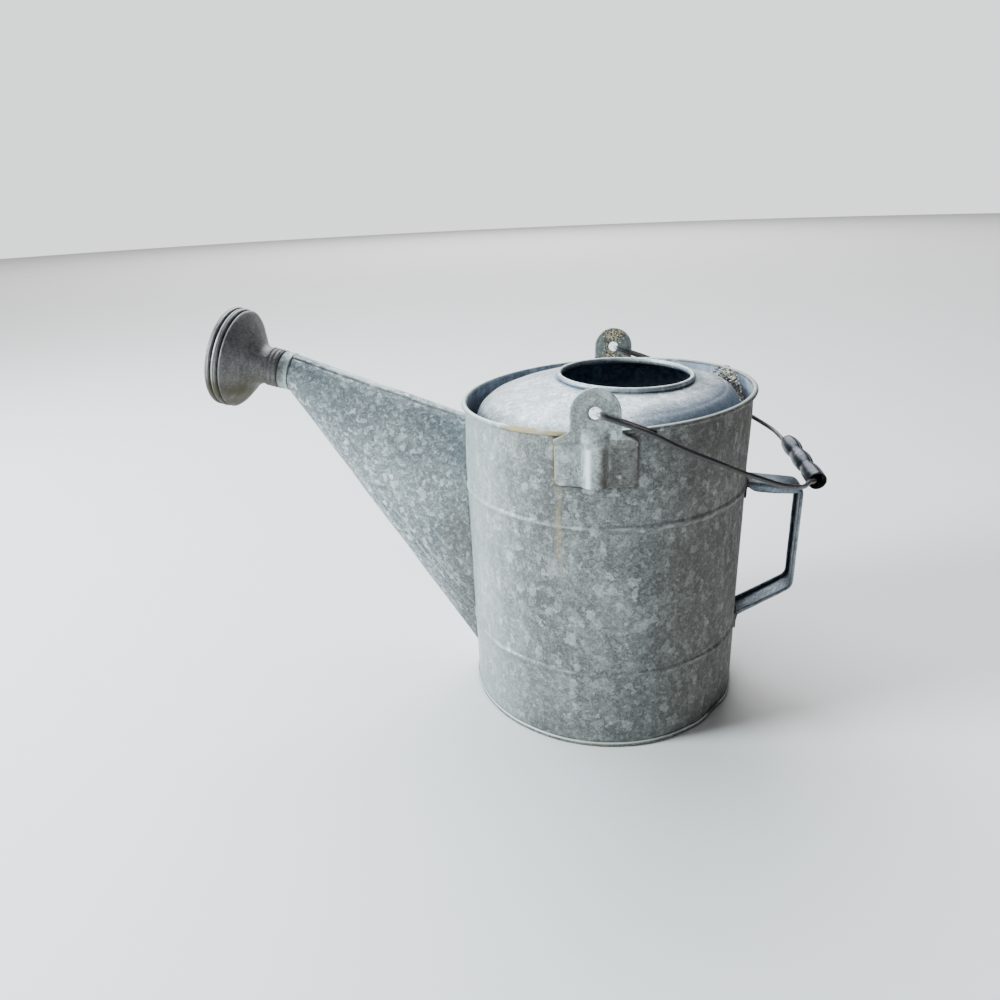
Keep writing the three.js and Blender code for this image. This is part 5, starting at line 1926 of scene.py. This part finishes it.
@dataclass
class Litter:
    """Leaf bits and soil in the channel between the rim and the hood, and crumbs on the far ear."""

    body: CanBody
    seed: int = 11
    outer_radius: float = 118.0
    floor: float = 246.0            # height of the channel's floor
    hood_slope: float = 2.1         # rise of the hood's edge for each step in

    def flake(self, rng: random.Random, at: Vector, size: float, lie: float) -> Grid:
        """One curled leaf bit.

        Args:
            rng: The seeded source of chance.
            at: Its middle.
            size: Its length.
            lie: How flat it lies, from 0 for any way to 1 for flat.

        Returns:
            The vertices and faces of a thin closed form.
        """
        turn = Matrix.Rotation(rng.uniform(0, 2 * pi), 3, "Z") @ Matrix.Rotation(
            rng.gauss(0, 0.9) * (1 - lie), 3, "X") @ Matrix.Rotation(rng.gauss(0, 0.7) * (1 - lie), 3, "Y")
        long, wide, curl = 6, 3, rng.uniform(0.2, 1.0)
        slim = rng.uniform(0.16, 0.5)
        top: list[Vector] = []
        for i in range(long + 1):
            u = i / long * 2 - 1
            half = size * slim * (1 - abs(u) ** 2.2) + 0.08
            for k in range(wide):
                v = k / (wide - 1) * 2 - 1
                bend = size * 0.22 * curl * (u * u - 0.4) + size * 0.1 * abs(v)
                top.append(at + turn @ Vector((u * size / 2, v * half + rng.gauss(0, 0.05) * size, bend)))
        lower = [p - turn @ Vector((0, 0, 0.22)) for p in top]
        count = len(top)
        faces = grid_faces(long + 1, wide, False)
        faces += [tuple(i + count for i in reversed(f)) for f in grid_faces(long + 1, wide, False)]
        loop = [i * wide for i in range(long + 1)] + [long * wide + k for k in range(1, wide)] \
            + [i * wide + wide - 1 for i in range(long - 1, -1, -1)] + [k for k in range(wide - 2, 0, -1)]
        faces += [(a, a + count, b + count, b) for a, b in zip(loop, [*loop[1:], loop[0]])]
        return top + lower, faces

    def crumb(self, rng: random.Random, at: Vector, size: float, depth: float = 1.0) -> Grid:
        """One rough crumb of soil, or a flat scale of crust with a depth below 1.

        Args:
            rng: The seeded source of chance.
            at: Its middle.
            size: Its width.
            depth: How thick it is for its width.

        Returns:
            The vertices and faces.
        """
        work = bmesh.new()
        bmesh.ops.create_icosphere(work, subdivisions=1, radius=size / 2)
        wide, deep, tall = rng.uniform(0.7, 1.3), rng.uniform(0.7, 1.3) * depth, rng.uniform(0.5, 0.9)
        squash = Matrix.Diagonal((wide, deep, tall))
        vertices = [at + squash @ v.co * rng.uniform(0.8, 1.2) for v in work.verts]
        faces = [tuple(v.index for v in f.verts) for f in work.faces]
        work.free()
        return vertices, faces

    def channel(self, angle: float, inward: float, lift: float) -> Vector:
        """A place in the channel behind the hood.

        Args:
            angle: In degrees.
            inward: How far in from the rim.
            lift: How high above the floor.

        Returns:
            The place.
        """
        height = self.floor + max(0.0, inward - 2) * self.hood_slope + lift
        return self.body.lean(polar(self.outer_radius - inward, radians(angle), height))

    def build(self) -> None:
        """Makes the dry grass, the leaf bits and the soil."""
        rng = random.Random(self.seed)
        straw, leaves, soil = [], [], []
        for _ in range(620):
            angle = rng.gauss(18, 13)
            heap = 25 * hump(angle, 22, 20)
            place = self.channel(angle, rng.uniform(1.2, 9), rng.uniform(0.3, 1) * heap)
            (straw if rng.random() < 0.62 else leaves).append(
                self.flake(rng, place, rng.uniform(1.2, 4.2), rng.uniform(0, 0.6)))
        for _ in range(90):
            angle = rng.gauss(-150, 22) if rng.random() < 0.6 else rng.uniform(-180, 180)
            soil.append(self.crumb(rng, self.channel(angle, rng.uniform(0.8, 6), rng.uniform(0.2, 2.5)),
                                   rng.uniform(1.0, 3.4)))
        for _ in range(520):
            angle = rng.gauss(15, 15)
            heap = 21 * hump(angle, 20, 22)
            soil.append(self.crumb(rng, self.channel(angle, rng.uniform(0.8, 9), rng.uniform(0, 1) * heap),
                                   rng.uniform(0.8, 2.0)))
        for name, parts, finish in (
                ("channel_straw", straw, LooseMatter("dry_grass_bleached", "#aaa294", "#eee9dd")),
                ("channel_leaves", leaves, LooseMatter("dead_leaf_brown", "#35322f", "#8f887b")),
                ("channel_soil", soil, LooseMatter("soil_crumbs_dark", "#33302b", "#8a8478", grain_mm=1.2))):
            make_piece(name, joined(parts), Body.CAN, Slot.HOOD, finish.build())

    def build_lichen(self, ear: Ear) -> None:
        """Makes the crust on the weathered ear.

        Args:
            ear: The ear.
        """
        rng = random.Random(self.seed + 1)
        crust = []
        for _ in range(620):
            kind = rng.random()
            if kind < 0.4:
                x, z = rng.gauss(-2, 5), rng.gauss(303, 2.4)
            elif kind < 0.8:
                x, z = rng.gauss(1, 3.4), rng.uniform(278, 302)
            else:
                x, z = rng.gauss(0, 9), rng.gauss(279, 2.2)
            away = hypot(x, z - ear.hole_height)
            inside = away < ear.lobe_radius - 0.6 or (z < ear.hole_height and abs(x) < 17)
            if inside and away > ear.hole_radius + 0.4 and z > 277:
                at = ear.place(x, z, -ear.thickness / 2)
                crust.append(self.crumb(rng, at, rng.uniform(1.1, 2.4), 0.18))
        pale, dark = crust[::2], crust[1::2]
        make_piece("far_ear_lichen_pale", joined(pale), Body.CAN, Slot.EAR,
                   LooseMatter("lichen_crust_tan", "#8a7f66", "#c4b998", grain_mm=1.0).build())
        make_piece("far_ear_lichen_dark", joined(dark), Body.CAN, Slot.EAR,
                   LooseMatter("lichen_crust_dark", "#2c2822", "#5d5443", grain_mm=1.0).build())


# Studio


@dataclass(frozen=True)
class Studio:
    """The camera at the photograph's view, soft lights and a pale floor."""

    eye: tuple[float, float, float] = (29.91, -632.08, 436.61)
    yaw: float = -0.1468
    pitch: float = 0.3901
    roll: float = -0.0466
    turn: float = 0.0473
    focal_px: float = 754.88
    image_px: float = 1000.0
    sensor_mm: float = 36.0

    def camera(self) -> None:
        """Makes the camera."""
        data = bpy.data.cameras.new("photo_camera")
        data.sensor_width = self.sensor_mm
        data.lens = self.focal_px / self.image_px * self.sensor_mm
        data.clip_start, data.clip_end = 0.02, 200
        forward = polar(cos(self.pitch), pi / 2 - self.yaw, -sin(self.pitch))
        right = forward.cross(Vector((0, 0, 1))).normalized()
        up = right.cross(forward)
        c, s = cos(self.roll), sin(self.roll)
        right, up = right * c + up * s, up * c - right * s
        about = Matrix.Rotation(self.turn, 3, "Z")
        right, up, forward = about @ right, about @ up, about @ forward
        camera = bpy.data.objects.new("photo_camera", data)
        camera.matrix_world = Matrix.Translation(to_frame(Vector(self.eye))) @ Matrix(
            (right, up, -forward)).transposed().to_4x4()
        bpy.context.scene.collection.objects.link(camera)
        bpy.context.scene.camera = camera

    def softbox(self, name: str, at: tuple[float, float, float], size: float, watts: float,
                tint: str) -> None:
        """Makes one area light that looks at the can.

        Args:
            name: The light's name.
            at: Its place in metres.
            size: Its width in metres.
            watts: Its power.
            tint: Its colour.
        """
        data = bpy.data.lights.new(name, "AREA")
        data.shape, data.size, data.energy = "DISK", size, watts
        data.color = linear(tint)[:3]
        light = bpy.data.objects.new(name, data)
        light.location = at
        aim = Vector((0.05, 0.0, 0.18)) - Vector(at)
        light.rotation_euler = aim.to_track_quat("-Z", "Y").to_euler()
        bpy.context.scene.collection.objects.link(light)

    def build(self) -> None:
        """Makes the camera, the lights, the surroundings and the floor."""
        self.camera()
        self.softbox("key_left", (-2.1, -0.82, 1.25), 0.8, 142, "#e9f7fb")
        self.softbox("top_soft", (-0.6, 0.6, 2.1), 1.6, 48, "#e6f3fb")
        self.softbox("back_sweep", (-1.0, 6.0, 5.0), 7.0, 700, "#ffffff")
        world = bpy.data.worlds.new("pale_surroundings")
        world.use_nodes = True
        tree = world.node_tree
        tree.nodes.clear()
        way = node(tree, "TexCoord").outputs["Generated"]
        across = node(tree, "SeparateXYZ", {0: way}).outputs[0]
        fade = node(tree, "MapRange", {
            "Value": across, "From Min": -1.0, "From Max": 0.6, "To Min": 0.7, "To Max": 0.04}).outputs[0]
        seen = node(tree, "LightPath").outputs["Is Camera Ray"]
        strength = node(tree, "Mix", {0: seen, 2: fade, 3: 1.7}, data_type="FLOAT").outputs[0]
        sky = node(tree, "Background", {"Color": linear("#f7f9fa"), "Strength": strength})
        node(tree, "OutputWorld", {"Surface": sky.outputs[0]})
        bpy.context.scene.world = world
        self.floor()

    def floor(self) -> None:
        """Makes the pale floor."""
        mesh = bpy.data.meshes.new("floor")
        work = bmesh.new()
        bmesh.ops.create_circle(work, cap_ends=True, segments=96, radius=9)
        work.to_mesh(mesh)
        work.free()
        material, tree, shader = new_material("matt_white_sweep")
        place = node(tree, "TexCoord").outputs["Object"]
        haze = node(tree, "TexNoise", {"Vector": place, "Scale": 3.0}).outputs["Fac"]
        shade = node(tree, "Mix", {
            0: haze, 6: linear("#eeeeee"), 7: linear("#f3f3f3")}, data_type="RGBA").outputs[2]
        tree.links.new(shade, shader.inputs["Base Color"])
        shader.inputs["Roughness"].default_value = 0.8
        mesh.materials.append(material)
        floor = bpy.data.objects.new("floor", mesh)
        bpy.context.scene.collection.objects.link(floor)


def main() -> None:
    """Builds the watering can piece by piece, then the studio."""
    logging.basicConfig(level=logging.INFO, format="%(name)s: %(message)s")
    body = CanBody()
    rose = Rose()
    spout = Spout(body, rose)
    body.build(spout)
    Hood(body).build()
    spout.build()
    rose.build()
    Ear(body, "near_ear", "ear_near", 0.0, 0.0, False).build()
    bail = Bail(body)
    far_turn = pi - asin(bail.far_shift / bail.hook_y)
    far_ear = Ear(body, "far_ear", "ear_far", far_turn, bail.far_drop, True)
    far_ear.build()
    StrapHandle(body).build()
    bail.build()
    litter = Litter(body)
    litter.build()
    litter.build_lichen(far_ear)
    Studio().build()


if __name__ == "__main__":
    main()
